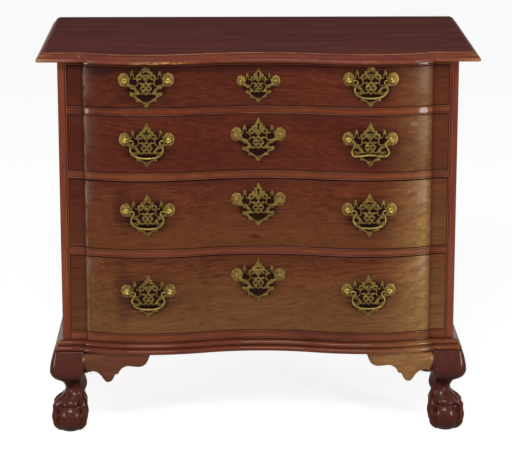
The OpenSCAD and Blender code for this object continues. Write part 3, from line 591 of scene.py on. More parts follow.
# dirt and painted shade round each plate, and painted shadow on the wood seen through its openings: half sizes in
# millimetres at a pull, at a full escutcheon and at the small one
plateShades = [
    {"pull": (80, 62), "full": (70, 54), "small": (70, 54), "down": 8 * mm, "share": 0.42, "core": 0.10,
     "colour": (0.012, 0.004, 0.003)},
    {"pull": (50, 42), "full": (50, 42), "small": (40, 34), "down": 12 * mm, "share": 0.97, "core": 0.50,
     "colour": (0.004, 0.001, 0.002)},
]
pullX = 248 * mm
postZ = [sum(v.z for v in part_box("pull_posts_%d" % n)) / 2 for n in (1, 2, 3, 4)]
drawerFinish = []
for i, look in enumerate(drawerLooks):
    low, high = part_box("drawer_%d_front" % (i + 1))
    keyMiddle = sum(v.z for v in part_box("escutcheon_%d" % (i + 1))) / 2 - 3 * mm
    # painted reflection of the floor, lighter towards the lower edge, then the painted shade under the rail
    patches = [{"mask": heightMask(high.z - 8 * mm, low.z + 20 * mm, look["low"][0]), "colour": look["low"][1]},
               patch(heightMask(high.z - look["high"][1] * mm, high.z - 2 * mm, look["high"][0]),
                     0.045, 0.011, 0.008),
               # painted sheen on the right and the left swell
               patch(paintedSheenMask(1, look["right"], 150 * mm), 0.330, 0.180, 0.060),
               patch(paintedSheenMask(-1, look["left"], 62 * mm), 0.190, 0.125, 0.060)]
    # dark marks, the first drawer's being painted shadow under the top, and pale scuffs
    for kind, colour in (("darkMarksAndShade", (0.020, 0.006, 0.005)), ("scuffs", (0.30, 0.17, 0.09))):
        for x, down, halfX, halfZ, share in look[kind]:
            patches.append(patch(ovalMask(x * mm, high.z + down * mm, halfX * mm, halfZ * mm, share), *colour))
    # a painted highlight down the left arris of each drawer
    patches += [patch(arrisHighlightMask(-1, 0.75), 0.23, 0.17, 0.11), patch(endMask(-1, 0.45), 0.048, 0.010, 0.007),
                patch(endMask(1, 0.12), 0.048, 0.010, 0.007)]
    # dirt and painted shade round each plate, then painted shadow in its openings
    for dark in plateShades:
        for x, z, (halfX, halfZ) in ((pullX, postZ[i] - dark["down"], dark["pull"]),
                                     (0, keyMiddle, dark["full" if i else "small"])):
            oval = ovalMask(x, z, halfX * mm, halfZ * mm, dark["share"], dark["core"], bothSides=x > 0)
            patches.append(patch(oval, *dark["colour"]))
    drawerFinish.append(woodFinish("drawerMahogany%d" % (i + 1), dict(
        mahogany, grain="x", offset=(1.3 * i, 0.2 * i, 0.37 * i), slant=look["slant"], toneRange=(0.33, 0.66),
        figure=12.0, streaks=130.0, lines=80.0, lineShare=0.50, fibreShare=0.42, mid=look["mid"],
        light=look["light"], gloss=0.05, coat=0.055, coatRough=0.18, patches=patches)))
pineAcross = woodFinish("pineAcross", dict(pine, grain="x"))
pineDeep = woodFinish("pineDeep", dict(pine, grain="y", offset=(0.4, 0, 0.2)))


# aged brass: olive body, brown bloom in the hollows, rubbed bright edges
def brassFinish(name, look):
    brass = Finish(name)
    cloud = brass.noise(brass.place, 180, 4, 0.6)
    speck = brass.noise(brass.place, 700, 2, 0.6)
    edge = brass.add("ShaderNodeNewGeometry", output="Pointiness") + (speck - 0.5) * 0.03
    colour = brass.mix(brass.spread(cloud, 0.40, 0.60), look["dull"], look["body"])
    colour = brass.mix(brass.spread(edge, 0.55, 0.64, 0.0, look["rubShare"]), colour, look["rubbed"])
    hollow = brass.spread(brass.openness(3 * mm), 0.35, 0.9, look["grimeShare"], 0.0)
    colour = brass.mix(hollow, colour, look["grime"])
    rough = brass.spread(cloud + (speck - 0.5) * 0.4, 0.3, 0.7, look["rough"], look["rough"] + 0.16)
    return brass.done({"Base Color": colour, "Metallic": 0.9, "Roughness": rough},
                      bump=cloud * 0.6 + speck * 0.5, strength=0.25, distance=0.3 * mm)


brass = {
    "dull": shade(0.095, 0.058, 0.014),
    "body": shade(0.205, 0.132, 0.031),
    "rubbed": shade(0.440, 0.320, 0.100),
    "grime": shade(0.016, 0.010, 0.006),
    "rubShare": 0.85,
    "grimeShare": 0.65,
    "rough": 0.36,
}
plateFinish = brassFinish("plateBrass", brass)
postFinish = brassFinish("postBrass", dict(brass, body=shade(0.46, 0.34, 0.075), dull=shade(0.26, 0.18, 0.038),
                                           rough=0.25))
bailFinish = brassFinish("bailBrass", dict(brass, body=shade(0.28, 0.205, 0.050), dull=shade(0.14, 0.095, 0.024),
                                           rubbed=shade(0.46, 0.36, 0.13), rough=0.27))


def ironFinish(name):
    iron = Finish(name)
    rust = iron.noise(iron.place, 120, 5, 0.65)
    fine = iron.noise(iron.place, 900, 2, 0.5)
    stops = [(0.35, shade(0.030, 0.028, 0.027)), (0.55, shade(0.070, 0.062, 0.056)),
             (0.72, shade(0.120, 0.055, 0.028))]
    colour = iron.add("ShaderNodeValToRGB", {"stops": stops}, {0: rust + (fine - 0.5) * 0.1})
    return iron.done({"Base Color": colour, "Metallic": iron.spread(rust, 0.5, 0.65, 0.85, 0.2),
                      "Roughness": iron.spread(rust, 0.3, 0.7, 0.42, 0.75)},
                     bump=rust + fine * 0.5, strength=0.3, distance=0.3 * mm)


lockFinish = ironFinish("lockIron")
nailFinish = ironFinish("nailIron")
print("finishes made")

# the top, with its moulded edge: shares of how far in and how far up, then the flat field
top = {
    "edgeIn": 14 * mm,
    "dip": 3.2 * mm,
    "dipWidth": 16 * mm,
    "nearCorner": 36 * mm,
    "profile": [(0.42, -0.002), (0.25, 0.0), (0.13, 0.03), (0.05, 0.09), (0.01, 0.17), (0.0, 0.24),
                (0.03, 0.32), (0.10, 0.395), (0.20, 0.44), (0.27, 0.47), (0.35, 0.53), (0.42, 0.61),
                (0.49, 0.70), (0.57, 0.785), (0.67, 0.85), (0.77, 0.885), (0.80, 0.90), (0.955, 0.903),
                (0.985, 0.92), (1.005, 0.955), (1.05, 0.985), (1.12, 1.0)],
    "flat": [(1.3, 1.0), (1.6, 1.0), (2.2, 1.0)],
}
outerTopRadius = ((arrisX - crestX) ** 2 + bulge ** 2) / (2 * bulge)


# how far the top's edge comes forward of its flat ends, with a shallow dip over each step
def topDepth(x, dip):
    x = abs(x)
    if x <= crestX / 2:
        depth = innerRadius - math.sqrt(innerRadius ** 2 - x * x)
    elif x <= crestX:
        depth = bulge - innerRadius + math.sqrt(innerRadius ** 2 - (x - crestX) ** 2)
    elif x < arrisX:
        depth = bulge - outerTopRadius + math.sqrt(outerTopRadius ** 2 - (x - crestX) ** 2)
    else:
        depth = 0
    if abs(x - arrisX) < top["dipWidth"]:
        depth -= dip * math.cos(math.pi / 2 * (x - arrisX) / top["dipWidth"]) ** 2
    return depth


def topOutline(inset):
    halfTop, edgeY = topHigh.x, topLow.y + bulge
    xs = [crestX * i / 36 for i in range(37)]
    xs += [crestX + (arrisX - top["dipWidth"] - crestX) * i / 14 for i in range(1, 15)]
    xs += [arrisX + top["dipWidth"] * i / 8 for i in range(-7, 9)]
    half = []
    dip = top["dip"] * max(0.15, 1 - inset / top["edgeIn"])
    for x in xs:
        slope = (topDepth(x + 0.5 * mm, dip) - topDepth(x - 0.5 * mm, dip)) / mm if x else 0
        size = math.sqrt(1 + slope * slope)
        half.append((x + inset * slope / size, edgeY - topDepth(x, dip) + inset / size))
    near, endX = top["nearCorner"], halfTop - inset
    half += [(halfTop - near, edgeY + inset), (endX, edgeY + inset), (endX, edgeY + near),
             (endX, topHigh.y - near), (endX, topHigh.y)]
    return [(-x, y) for x, y in reversed(half[1:])] + half


topRows = [closedRow([(x, y, topLow.z + max(up, 0) * (topHigh.z - topLow.z))
                      for x, y in topOutline(inward * top["edgeIn"])])
           for inward, up in top["profile"] + top["flat"]]
piece("topBoard", skin(topRows), "case", topFinish, ["top_board"], sharp=36, weighted=True)


# sweeps along the serpentine: each row is ("front", offset, height) or ("back", Y, height)
def sweep(rows, endX, endOut=False, backShare=1.0):
    made = []
    for u in frontStations():
        ring = []
        for kind, a, z in rows:
            if kind == "front":
                x, y = frontPoint(u, a, endX + (a if endOut else 0))
            else:
                x, y = frontPoint(u, 0, endX)[0] * backShare, a
            ring.append((x, y, z))
        made.append(closedRow(ring))
    return skin(made)


# a board's face in section, from its lower eased edge to its upper one
def easedFace(out, z0, z1, ease):
    turns = [math.radians(a) for a in (0, 30, 60, 90)]
    low = [("front", out - ease + ease * math.sin(a), z0 + ease - ease * math.cos(a)) for a in turns]
    high = [("front", out - ease + ease * math.cos(a), z1 - ease + ease * math.sin(a)) for a in turns]
    return low + high


# rails and dividers have a round bead at their edges, and a quirk beside it: how deep, how far past the bead
railEdge = {"turns": (-90, -60, -30, 0, 30, 60, 90), "pocketGap": 1 * mm, "pocketTall": 8 * mm,
            "quirk": [(0.8 * mm, 0.1 * mm), (0.8 * mm, 0.7 * mm), (0, 0.9 * mm)]}


def railRows(z0, z1, upperBead, backY):
    width, out = case["beadWidth"], case["beadOut"]

    def bead(middle):
        return [("front", -out + out * math.cos(math.radians(a)), middle + width / 2 * math.sin(math.radians(a)))
                for a in railEdge["turns"]]

    def quirk(z, way):
        return [("front", -out - deep, z + way * past) for deep, past in railEdge["quirk"]]

    rows = [("back", backY, z0)] + bead(z0 + width / 2) + quirk(z0 + width, 1)
    if upperBead:
        rows += quirk(z1 - width, -1)[::-1] + bead(z1 - width / 2)
    else:
        rows += [("front", -out, z1)]
    return rows + [("back", backY, z1)]


# each rail's piece, whether it has an upper bead, and the drawer whose lock bolt rises into it
rails = {"top_rail": ("topRail", False, 1), "divider_1": ("divider1", True, 2), "divider_2": ("divider2", True, 3),
         "divider_3": ("divider3", True, None), "bottom_rail": ("bottomRail", True, None)}
for node, (name, upperBead, lockBelow) in rails.items():
    low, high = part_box(node)
    rail = sweep(railRows(low.z, high.z, upperBead, high.y), case["innerX"])
    if lockBelow:
        boltLow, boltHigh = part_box("lock_bolt_%d" % lockBelow)
        gap = railEdge["pocketGap"]
        pocket = board(boltLow - Vector((gap, gap, 0)),
                       (boltHigh.x + gap, boltHigh.y + gap, low.z + railEdge["pocketTall"]), 0)
        rail = carved(rail, [pocket])
    piece(name, rail, "case", railFinish, [node], sharp=40)

# the sides, with a bead down the front edge and a quirk beside it: millimetres past the bead and back
sideBoard = {
    "ease": 1.6 * mm,
    "lap": 10 * mm,
    "back": 14 * mm,
    "quirk": [(0.35, 1.6), (0.75, 1.6), (0.95, 0.5), (1.3, 0)],
}


def sideOutline():
    x0, x1, y0, y1 = case["innerX"], case["halfWidth"], case["frontY"], case["backY"]
    half, out, ease = case["beadWidth"] / 2, case["beadOut"], sideBoard["ease"]
    line = [(x0 + half - half * math.cos(math.radians(a)), y0 + out - out * math.sin(math.radians(a)))
            for a in range(0, 181, 20)]
    line += [(x0 + 2 * half + past * mm, y0 + back * mm) for past, back in sideBoard["quirk"]]
    line += [(x1 - ease + ease * math.sin(math.radians(a)), y0 + ease - ease * math.cos(math.radians(a)))
             for a in range(0, 91, 15)]
    line += [(x1 - ease + ease * math.cos(math.radians(a)), y1 - ease + ease * math.sin(math.radians(a)))
             for a in range(0, 91, 30)]
    return line + [(x0 + sideBoard["lap"], y1), (x0 + sideBoard["lap"], y1 - sideBoard["back"]),
                   (x0, y1 - sideBoard["back"])]


rightSide = skin([closedRow([(x, y, z) for x, y in sideOutline()]) for z in (case["baseZ"], case["topZ"])])
piece("sideBoardLeft", mirrored(rightSide), "case", sideFinish, ["side_left"], sharp=40)
piece("sideBoardRight", rightSide, "case", sideFinish, ["side_right"], sharp=40)
print("case boards made")

# the base moulding, mitred at the front corners: shares of how far out and how far up
base = {
    "out": 19 * mm,
    "reachIn": 45 * mm,
    "profile": [(0.05, 1), (0.33, 1), (0.40, 0.99), (0.48, 0.955), (0.56, 0.90), (0.62, 0.83), (0.66, 0.75),
                (0.68, 0.66), (0.66, 0.60), (0.60, 0.565), (0.575, 0.54), (0.58, 0.515), (0.62, 0.50),
                (0.72, 0.485), (0.82, 0.445), (0.90, 0.39), (0.96, 0.315), (0.99, 0.24), (1, 0.17),
                (0.985, 0.095), (0.95, 0.035), (0.88, 0)],
}
baseHeight = case["baseZ"] - case["legTop"]
baseProfile = [(out * base["out"], case["legTop"] + up * baseHeight) for out, up in base["profile"]]
innerY = case["frontY"] + base["reachIn"]
frontRows = [("back", innerY, case["legTop"]), ("back", innerY, case["baseZ"])]
frontRows += [("front", out, z) for out, z in baseProfile]
piece("baseMouldingFront",
      sweep(frontRows, case["halfWidth"], endOut=True, backShare=1 - base["reachIn"] / case["halfWidth"]),
      "case", mouldFinish, ["base_molding_front"], sharp=48)
sideProfile = [(-base["reachIn"], case["legTop"]), (-base["reachIn"], case["baseZ"])] + baseProfile
frontEnd = [(case["halfWidth"] + out, case["frontY"] - out, z) for out, z in sideProfile]
rightMoulding = skin([closedRow(frontEnd), closedRow([(x, case["backY"], z) for x, y, z in frontEnd])])
piece("baseMouldingLeft", mirrored(rightMoulding), "case", sideMouldFinish,
      ["base_molding_left"], sharp=48)
piece("baseMouldingRight", rightMoulding, "case", sideMouldFinish, ["base_molding_right"],
      sharp=48)

# knee brackets, swelling next to the leg, shaped along their lower edge and rounded over
bracket = {
    "length": 153 * mm,
    "drop": 71 * mm,
    "least": 0.2 * mm,
    "out": 8 * mm,
    "backIn": 16 * mm,
    "round": 3.2 * mm,
    "legIn": 47 * mm,
    "swell": 14 * mm,
    "swellEnd": 2.5 * mm,
    "swellShare": 0.40,
    "swellDrop": 30 * mm,
    "steps": 90,
    "curve": [(0, 0.775), (0.03, 0.73), (0.10, 0.67), (0.194, 0.694), (0.261, 0.807), (0.301, 0.927),
              (0.334, 0.985), (0.368, 0.99), (0.409, 0.95), (0.442, 0.844), (0.469, 0.724), (0.489, 0.713),
              (0.516, 0.687), (0.542, 0.583), (0.583, 0.49), (0.65, 0.427), (0.717, 0.43), (0.784, 0.44),
              (0.85, 0.437), (0.918, 0.369), (0.957, 0.254), (0.985, 0.10), (1.0, 0)],
}
bracketLine = smoothLine(bracket["curve"], 5)


def bracketDrop(share):
    share = max(share, 0)
    for (s0, d0), (s1, d1) in zip(bracketLine, bracketLine[1:]):
        if s0 <= share <= s1:
            return bracket["drop"] * (d0 + (d1 - d0) * (share - s0) / max(s1 - s0, 1e-9))
    return 0.0


# heights and setbacks round a bracket's section, from its top over its swelling face to its lower edge
def bracketSection(drop, share):
    z, r = case["legTop"], min(bracket["round"], drop * 0.45 + 0.05 * mm)
    knee = max(0.0, 1 - share / bracket["swellShare"]) ** 1.5
    swell = bracket["swellEnd"] + (bracket["swell"] - bracket["swellEnd"]) * knee
    swell *= min(1.0, drop / bracket["swellDrop"])
    tall = drop - r
    face = [(-swell * math.sin(math.pi * min(1.0, k / 8 * 1.06)) ** 0.75, z - tall * k / 8) for k in range(9)]
    lower = [(r - r * math.cos(math.radians(a)), z - drop + r - r * math.sin(math.radians(a)))
             for a in (22, 45, 68, 90)]
    return face + lower


# the station whose face at the bracket's offset is at x
def stationAt(x):
    low, high = 1.0, 5.0
    for _ in range(40):
        middle = (low + high) / 2
        if frontPoint(middle, bracket["out"], case["halfWidth"])[0] < x:
            low = middle
        else:
            high = middle
    return low


# from a function that places a point of the section, and one that gives the point behind it
def bracketMesh(placed, behind):
    rows = []
    for k in range(-3, bracket["steps"] + 1):
        share = k / bracket["steps"]
        section = bracketSection(max(bracketDrop(share), bracket["least"]), max(share, 0))
        ring = [placed(share, setback, z) for setback, z in section]
        rows.append(closedRow(ring + [behind(ring[-1]), behind(ring[0])]))
    return skin(rows)


def frontBracket():
    start, backY = case["halfWidth"] - bracket["legIn"], case["frontY"] + bracket["backIn"]

    def placed(share, setback, z):
        x = start - share * bracket["length"]
        if x > arrisX + bracket["out"]:
            return x, case["frontY"] - bracket["out"] + setback, z
        return *frontPoint(stationAt(x), bracket["out"] - setback, case["halfWidth"]), z

    return bracketMesh(placed, lambda p: (p[0], backY, p[2]))


def sideBracket(y0, way):
    outX, backX = case["halfWidth"] + bracket["out"], case["halfWidth"] - bracket["backIn"]
    return bracketMesh(lambda share, setback, z: (outX - setback, y0 + way * share * bracket["length"], z),
                       lambda p: (backX, p[1], p[2]))


rearLegDeep = base["out"] + bracket["legIn"]
rightBrackets = {
    "kneeBracketFront": frontBracket(),
    "kneeBracketSide": sideBracket(case["frontY"] + bracket["legIn"], 1),
    "kneeBracketRear": sideBracket(case["backY"] - rearLegDeep, -1),
}
for name, bm in rightBrackets.items():
    finish = bracketFinish if name.endswith("Front") else sideBracketFinish
    piece(name + "Left", mirrored(bm), "case", finish, ["knee_brackets"], sharp=50)
    piece(name + "Right", bm, "case", finish, ["knee_brackets"], sharp=50)
print("base and brackets made")

# claw-and-ball legs: leg, ball, web and talons merged into one carved skin
leg = {
    "height": case["legTop"],
    "ankle": 48 * mm,
    "ankleBack": 10 * mm,
    "ball": 38 * mm,
    "ballZ": 33 * mm,
    "ballIn": 12.5 * mm,
    "ballBack": 4 * mm,
    "voxel": 1.05 * mm,
    # share of the height, reach out, reach in, squareness of the outer corner
    "rows": [(0.290, 14.0, 41.0, 2), (0.330, 17.5, 41.5, 2), (0.363, 16.0, 42.0, 2), (0.400, 10.0, 42.5, 2),
             (0.434, 4.5, 43.5, 2), (0.460, 0.8, 45.5, 2), (0.489, -1.4, 48.5, 2), (0.525, -0.6, 51.0, 2),
             (0.564, 3.1, 51.5, 2.1), (0.590, 6.5, 50.8, 2.3), (0.615, 11.0, 49.8, 2.6),
             (0.646, 20.4, 48.2, 3.0), (0.677, 26.2, 47.2, 3.4), (0.715, 29.8, 47.6, 3.8),
             (0.751, 31.3, 48.4, 4.2), (0.830, 29.6, 49.4, 5), (0.920, 25.5, 49.6, 6), (1.000, 20.4, 49.6, 8)],
    # distance from the axis, height over the ball's centre, half width, half thickness, as shares of the ball
    "talon": [(0.46, 1.75, 0.07, 0.05), (0.56, 1.50, 0.10, 0.08), (0.676, 1.33, 0.13, 0.11),
              (0.76, 1.19, 0.16, 0.14), (0.895, 1.005, 0.20, 0.19), (0.975, 0.80, 0.22, 0.21),
              (1.04, 0.534, 0.18, 0.14), (1.075, 0.316, 0.19, 0.15), (1.068, 0.10, 0.22, 0.18),
              (1.060, -0.11, 0.18, 0.14), (1.000, -0.36, 0.20, 0.15), (0.86, -0.56, 0.15, 0.13),
              (0.71, -0.72, 0.10, 0.08), (0.62, -0.80, 0.05, 0.04)],
    "talonTurns": (57, 123, 237, -57),
    # the web of skin: its edge between the talons and at them, its reach there, under it and at its top, the
    # angle from a talon to the middle of a scallop, and its rows
    "web": {"high": 0.86, "low": 0.20, "over": 1.065, "under": 0.93, "peak": 1.42, "scallop": 30, "rows": 10},
}
talonTurns = [math.radians(a - 90) for a in leg["talonTurns"]]


def unit(value):
    return max(0.0, min(1.0, value))


def legBlock(rear):
    rows = []
    for share, out, inward, square in smoothLine(leg["rows"], 4):
        out, inward = out * mm, inward * mm
        half = (out + inward) / 2
        halfY, cy = half, case["frontY"] + (inward - out) / 2
        if rear:
            halfY = min(half, rearLegDeep / 2)
            cy = case["backY"] - halfY - leg["ankleBack"] * unit((2.35 - square) / 0.3)
        cx = case["halfWidth"] + (out - inward) / 2
        innerSquare = max(square, min(14, 26 * (share - 0.52)))    # the inner corners are square over the ankle
        ring = []
        for i in range(72):
            across, deep = math.cos(2 * math.pi * i / 72), math.sin(2 * math.pi * i / 72)
            power = 2 / (square if across > 0 and deep < 0 else innerSquare)
            ring.append((cx + half * math.copysign(abs(across) ** power, across),
                         cy + halfY * math.copysign(abs(deep) ** power, deep), share * leg["height"]))
        rows.append(closedRow(ring))
    return skin(rows)


def talon(angle, ankleShift):
    rows = []
    line = smoothLine(leg["talon"], 3)
    for k, (away, up, half, thick) in enumerate(line):
        before, after = line[max(k - 1, 0)], line[min(k + 1, len(line) - 1)]
        along = Vector((after[0] - before[0], after[1] - before[1])).normalized()
        shift = ankleShift * unit((up - 0.80) / 0.75)
        ring = []
        for i in range(12):
            a = 2 * math.pi * i / 12
            away2, up2 = away + thick * math.cos(a) * along[1], up - thick * math.cos(a) * along[0]
            across = half * math.sin(a)
            x = away2 * math.cos(angle) - across * math.sin(angle)
            y = away2 * math.sin(angle) + across * math.cos(angle)
            ring.append((x * leg["ball"] + shift.x, y * leg["ball"] + shift.y, up2 * leg["ball"]))
        rows.append(closedRow(ring))
    return skin(rows)


# the web hangs from the ankle over the ball, its edge scalloped between the talons
def web(ankleShift):
    look = leg["web"]
    rows = [[] for _ in range(3 + look["rows"])]

    def placed(out, turn, a):
        share = unit((out * math.sin(turn) - 0.85) / 0.6)
        return (out * math.cos(turn) * math.cos(a) * leg["ball"] + ankleShift.x * share,
                out * math.cos(turn) * math.sin(a) * leg["ball"] + ankleShift.y * share,
                out * math.sin(turn) * leg["ball"])

    for i in range(96):
        a = 2 * math.pi * i / 96
        nearest = min(abs(math.remainder(a - turn, 2 * math.pi)) for turn in talonTurns)
        share = min(1.0, nearest / math.radians(look["scallop"])) ** 0.6
        edge = math.asin(min(look["low"] + (look["high"] - look["low"]) * share, 0.99))
        line = [(0, 0), (look["under"], edge), (look["over"], edge)]
        for k in range(look["rows"]):
            t = (k + 1) / look["rows"]
            line.append((look["over"] + (look["peak"] - look["over"]) * t ** 2, edge + (math.pi / 2 - edge) * t))
        for row, (out, turn) in zip(rows, line):
            row.append(placed(out, turn, a))
    return skin([closedRow(row) for row in rows])


def carvedLeg(rear):
    ballX, ankleX = case["halfWidth"] - leg["ballIn"], case["halfWidth"] - leg["ankle"] / 2
    if rear:
        ballY = case["backY"] - leg["ball"] - leg["ballBack"]
        ankleY = case["backY"] - leg["ankle"] / 2 - leg["ankleBack"]
    else:
        ballY, ankleY = case["frontY"] + leg["ballIn"], case["frontY"] + leg["ankle"] / 2
    shift = Vector((ankleX - ballX, ankleY - ballY, 0))
    ball = bmesh.new()
    bmesh.ops.create_uvsphere(ball, u_segments=64, v_segments=40, radius=1)
    for vert in ball.verts:    # a little squarer than round, more so below
        n = 2.2 if vert.co.z < 0 else 2.1
        size = (math.hypot(vert.co.x, vert.co.y) ** n + abs(vert.co.z) ** n) ** (1 / n)
        vert.co *= leg["ball"] * 0.975 / size
    foot = gather([ball, web(shift)] + [talon(turn, shift) for turn in talonTurns])
    foot = moved(foot, (ballX, ballY, leg["ballZ"]))
    whole = applied(gather([foot, legBlock(rear)]), "REMESH", mode="VOXEL", voxel_size=leg["voxel"],
                    adaptivity=0.0)
    for _ in range(2):
        bmesh.ops.smooth_vert(whole, verts=whole.verts, factor=0.5, use_axis_x=True, use_axis_y=True,
                              use_axis_z=True)
    for vert in whole.verts:
        vert.co.z = min(max(vert.co.z, 0.0), leg["height"])
    return whole


for place, rear in (("Front", False), ("Rear", True)):
    bm = carvedLeg(rear)
    node = "foot_%s_" % place.lower()
    piece("leg%sLeft" % place, mirrored(bm), "case", legFinish, [node + "left"], sharp=70)
    piece("leg%sRight" % place, bm, "case", legFinish, [node + "right"], sharp=70)
print("legs carved")

# boards inside the case
backs = {"count": 3, "gap": 0.6 * mm, "ease": 0.8 * mm}
low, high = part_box("backboards")
tall = (high.z - low.z - (backs["count"] - 1) * backs["gap"]) / backs["count"]
for k in range(backs["count"]):
    z = low.z + k * (tall + backs["gap"])
    piece("backboard%d" % (k + 1), board((low.x, low.y, z), (high.x, high.y, z + tall), backs["ease"]), "case",
          pineAcross, ["backboards"], weighted=True)
low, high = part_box("bottom_board")
piece("bottomBoard", board(low, high), "case", pineAcross, ["bottom_board"], weighted=True)
runner = {"width": 34 * mm, "thick": 15 * mm}
low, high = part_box("drawer_runners")
for k in range(1, 4):
    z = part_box("divider_%d" % k)[1].z
    for side, name in ((-1, "Left"), (1, "Right")):
        x0, x1 = sorted((side * case["innerX"], side * (case["innerX"] - runner["width"])))
        piece("runner%d%s" % (k, name), board((x0, low.y, z - runner["thick"]), (x1, high.y, z)), "case",
              pineDeep, ["drawer_runners"], weighted=True)

# wrought nails that hold the backboards and the bottom, and the locks' screws
nail = {"head": [(0, 1.1), (1.3, 0.9), (2.3, 0.4), (2.6, 0), (0, 0)], "in": 9 * mm,
        "screw": [(0, 0.7), (1.4, 0.6), (2.1, 0.25), (2.2, 0), (0, 0)], "screwIn": 5 * mm}
low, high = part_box("backboards")
tall = (high.z - low.z) / backs["count"]
heads = []
for k in range(backs["count"]):
    for side in (-1, 1):
        for share in (0.2, 0.8):
            place = (side * (high.x - nail["in"] + dice.uniform(-1, 1) * mm), high.y,
                     low.z + tall * (k + share) + dice.uniform(-4, 4) * mm)
            heads.append(moved(turned(nail["head"], 10), place, (math.pi, "Z")))
piece("backNails", gather(heads), "case", nailFinish)
low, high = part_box("bottom_board")
heads = []
for side in (-1, 1):
    for share in (0.12, 0.5, 0.88):
        place = (side * (high.x - nail["in"]), low.y + (high.y - low.y) * share, low.z)
        heads.append(moved(turned(nail["head"], 10), place, (math.pi / 2, "X")))
piece("bottomNails", gather(heads), "case", nailFinish)

# glue blocks under the base moulding, one along the front and one along the side
glue = {"long": 46 * mm, "deep": 18 * mm, "tall": 24 * mm, "legGap": 5 * mm, "sideBack": 40 * mm, "ease": 2 * mm}
start, inside = case["halfWidth"] - bracket["legIn"] - glue["legGap"], case["frontY"] + bracket["backIn"]
sideX, sideY = case["halfWidth"] - bracket["backIn"], inside + glue["sideBack"]
z0, z1 = case["legTop"] - glue["tall"], case["legTop"]
rightBlocks = gather([
    board((start - glue["long"], inside, z0), (start, inside + glue["deep"], z1), glue["ease"]),
    board((sideX - glue["deep"], sideY, z0), (sideX, sideY + glue["long"], z1), glue["ease"])])
piece("glueBlocksLeft", mirrored(rightBlocks), "case", pineDeep, weighted=True)
piece("glueBlocksRight", rightBlocks, "case", pineDeep, weighted=True)

# drawers: gapMore is how much lower than the solid each front ends
drawer = {"gapMore": (0, 0, 1.3 * mm, 0.8 * mm), "ease": 1.2 * mm, "sideThick": 11 * mm, "lockGap": 0.2 * mm,
          "lockPast": 2 * mm}
keyhole = {"radius": 2.6 * mm, "slotWidth": 3.2 * mm, "slotHeight": 11 * mm, "down": 17.5 * mm, "ahead": 5 * mm,
           "intoLock": 1 * mm}
dovetail = {"pitch": 34 * mm, "narrow": 15 * mm, "wide": 22 * mm, "deep": 16 * mm, "proud": 0.3 * mm,
            "sunk": 2 * mm}
plateScale = [0.79, 1, 1, 1]    # of each drawer's escutcheon, and how far it hangs under the drawer's top edge
plateDrop = [4.5 * mm, 7 * mm, 9 * mm, 9 * mm]


# a cutter in the shape of a keyhole, running along Y
def keyholeCutter(z, scale, y0, y1):
    r, slot = keyhole["radius"], keyhole["slotWidth"] / 2
    foot = keyhole["slotHeight"] * scale
    start = math.degrees(math.asin(slot / r))
    turns = [math.radians(180 - start - k * (360 - 2 * start) / 24) for k in range(25)]
    line = [(r * math.sin(a), r * math.cos(a)) for a in turns] + [(-slot, -foot), (slot, -foot)]
    return skin([closedRow([(x, y, z + up) for x, up in line]) for y in (y0, y1)])


def frontMesh(i):
    low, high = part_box("drawer_%d_front" % (i + 1))
    topZ = high.z - drawer["gapMore"][i]
    face = easedFace(front["faceOut"], low.z, topZ, drawer["ease"])
    face = sweep([("back", high.y, low.z)] + face + [("back", high.y, topZ)], high.x)
    if i == 3:
        return face
    lockLow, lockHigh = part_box("lock_%d" % (i + 1))
    keyZ = high.z - plateDrop[i] - keyhole["down"] * plateScale[i]
    hole = keyholeCutter(keyZ, plateScale[i], low.y - keyhole["ahead"], lockLow.y + keyhole["intoLock"])
    gap, past = drawer["lockGap"], drawer["lockPast"]
    mortise = board(lockLow - Vector((gap, gap, gap)), (lockHigh.x + gap, lockHigh.y + past, high.z + past), 0)
    return carved(face, [hole, mortise])


def dovetailMesh(low, high):
    count = round((high.z - low.z) / dovetail["pitch"])
    near, far = low.y, low.y - dovetail["deep"]
    narrow, wide = dovetail["narrow"] / 2, dovetail["wide"] / 2
    tails = []
    for k in range(count):
        z = low.z + (high.z - low.z) * (k + 0.5) / count
        line = [(near, z - narrow), (far, z - wide), (far, z + wide), (near, z + narrow)]
        tails.append(skin([closedRow([(x, y, up) for y, up in line])
                           for x in (high.x - dovetail["sunk"], high.x + dovetail["proud"])]))
    return gather(tails)


for i in range(4):
    n, body = i + 1, "drawer_%d" % (i + 1)
    piece("drawer%dFront" % n, frontMesh(i), body, drawerFinish[i], [body + "_front"], sharp=40)
    low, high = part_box(body + "_sides")
    rightTails = dovetailMesh(low, high)
    piece("drawer%dDovetailsLeft" % n, mirrored(rightTails), body, pineDeep)
    piece("drawer%dDovetailsRight" % n, rightTails, body, pineDeep)
    for side, name in ((-1, "Left"), (1, "Right")):
        x0, x1 = sorted((side * high.x, side * (high.x - drawer["sideThick"])))
        piece("drawer%dSide%s" % (n, name), board((x0, low.y, low.z), (x1, high.y, high.z)), body,
              pineDeep, [body + "_sides"], weighted=True)
    for name in ("Back", "Bottom"):
        node = "%s_%s" % (body, name.lower())
        piece("drawer%d%s" % (n, name), board(*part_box(node)), body, pineAcross, [node], weighted=True)
print("drawers made")

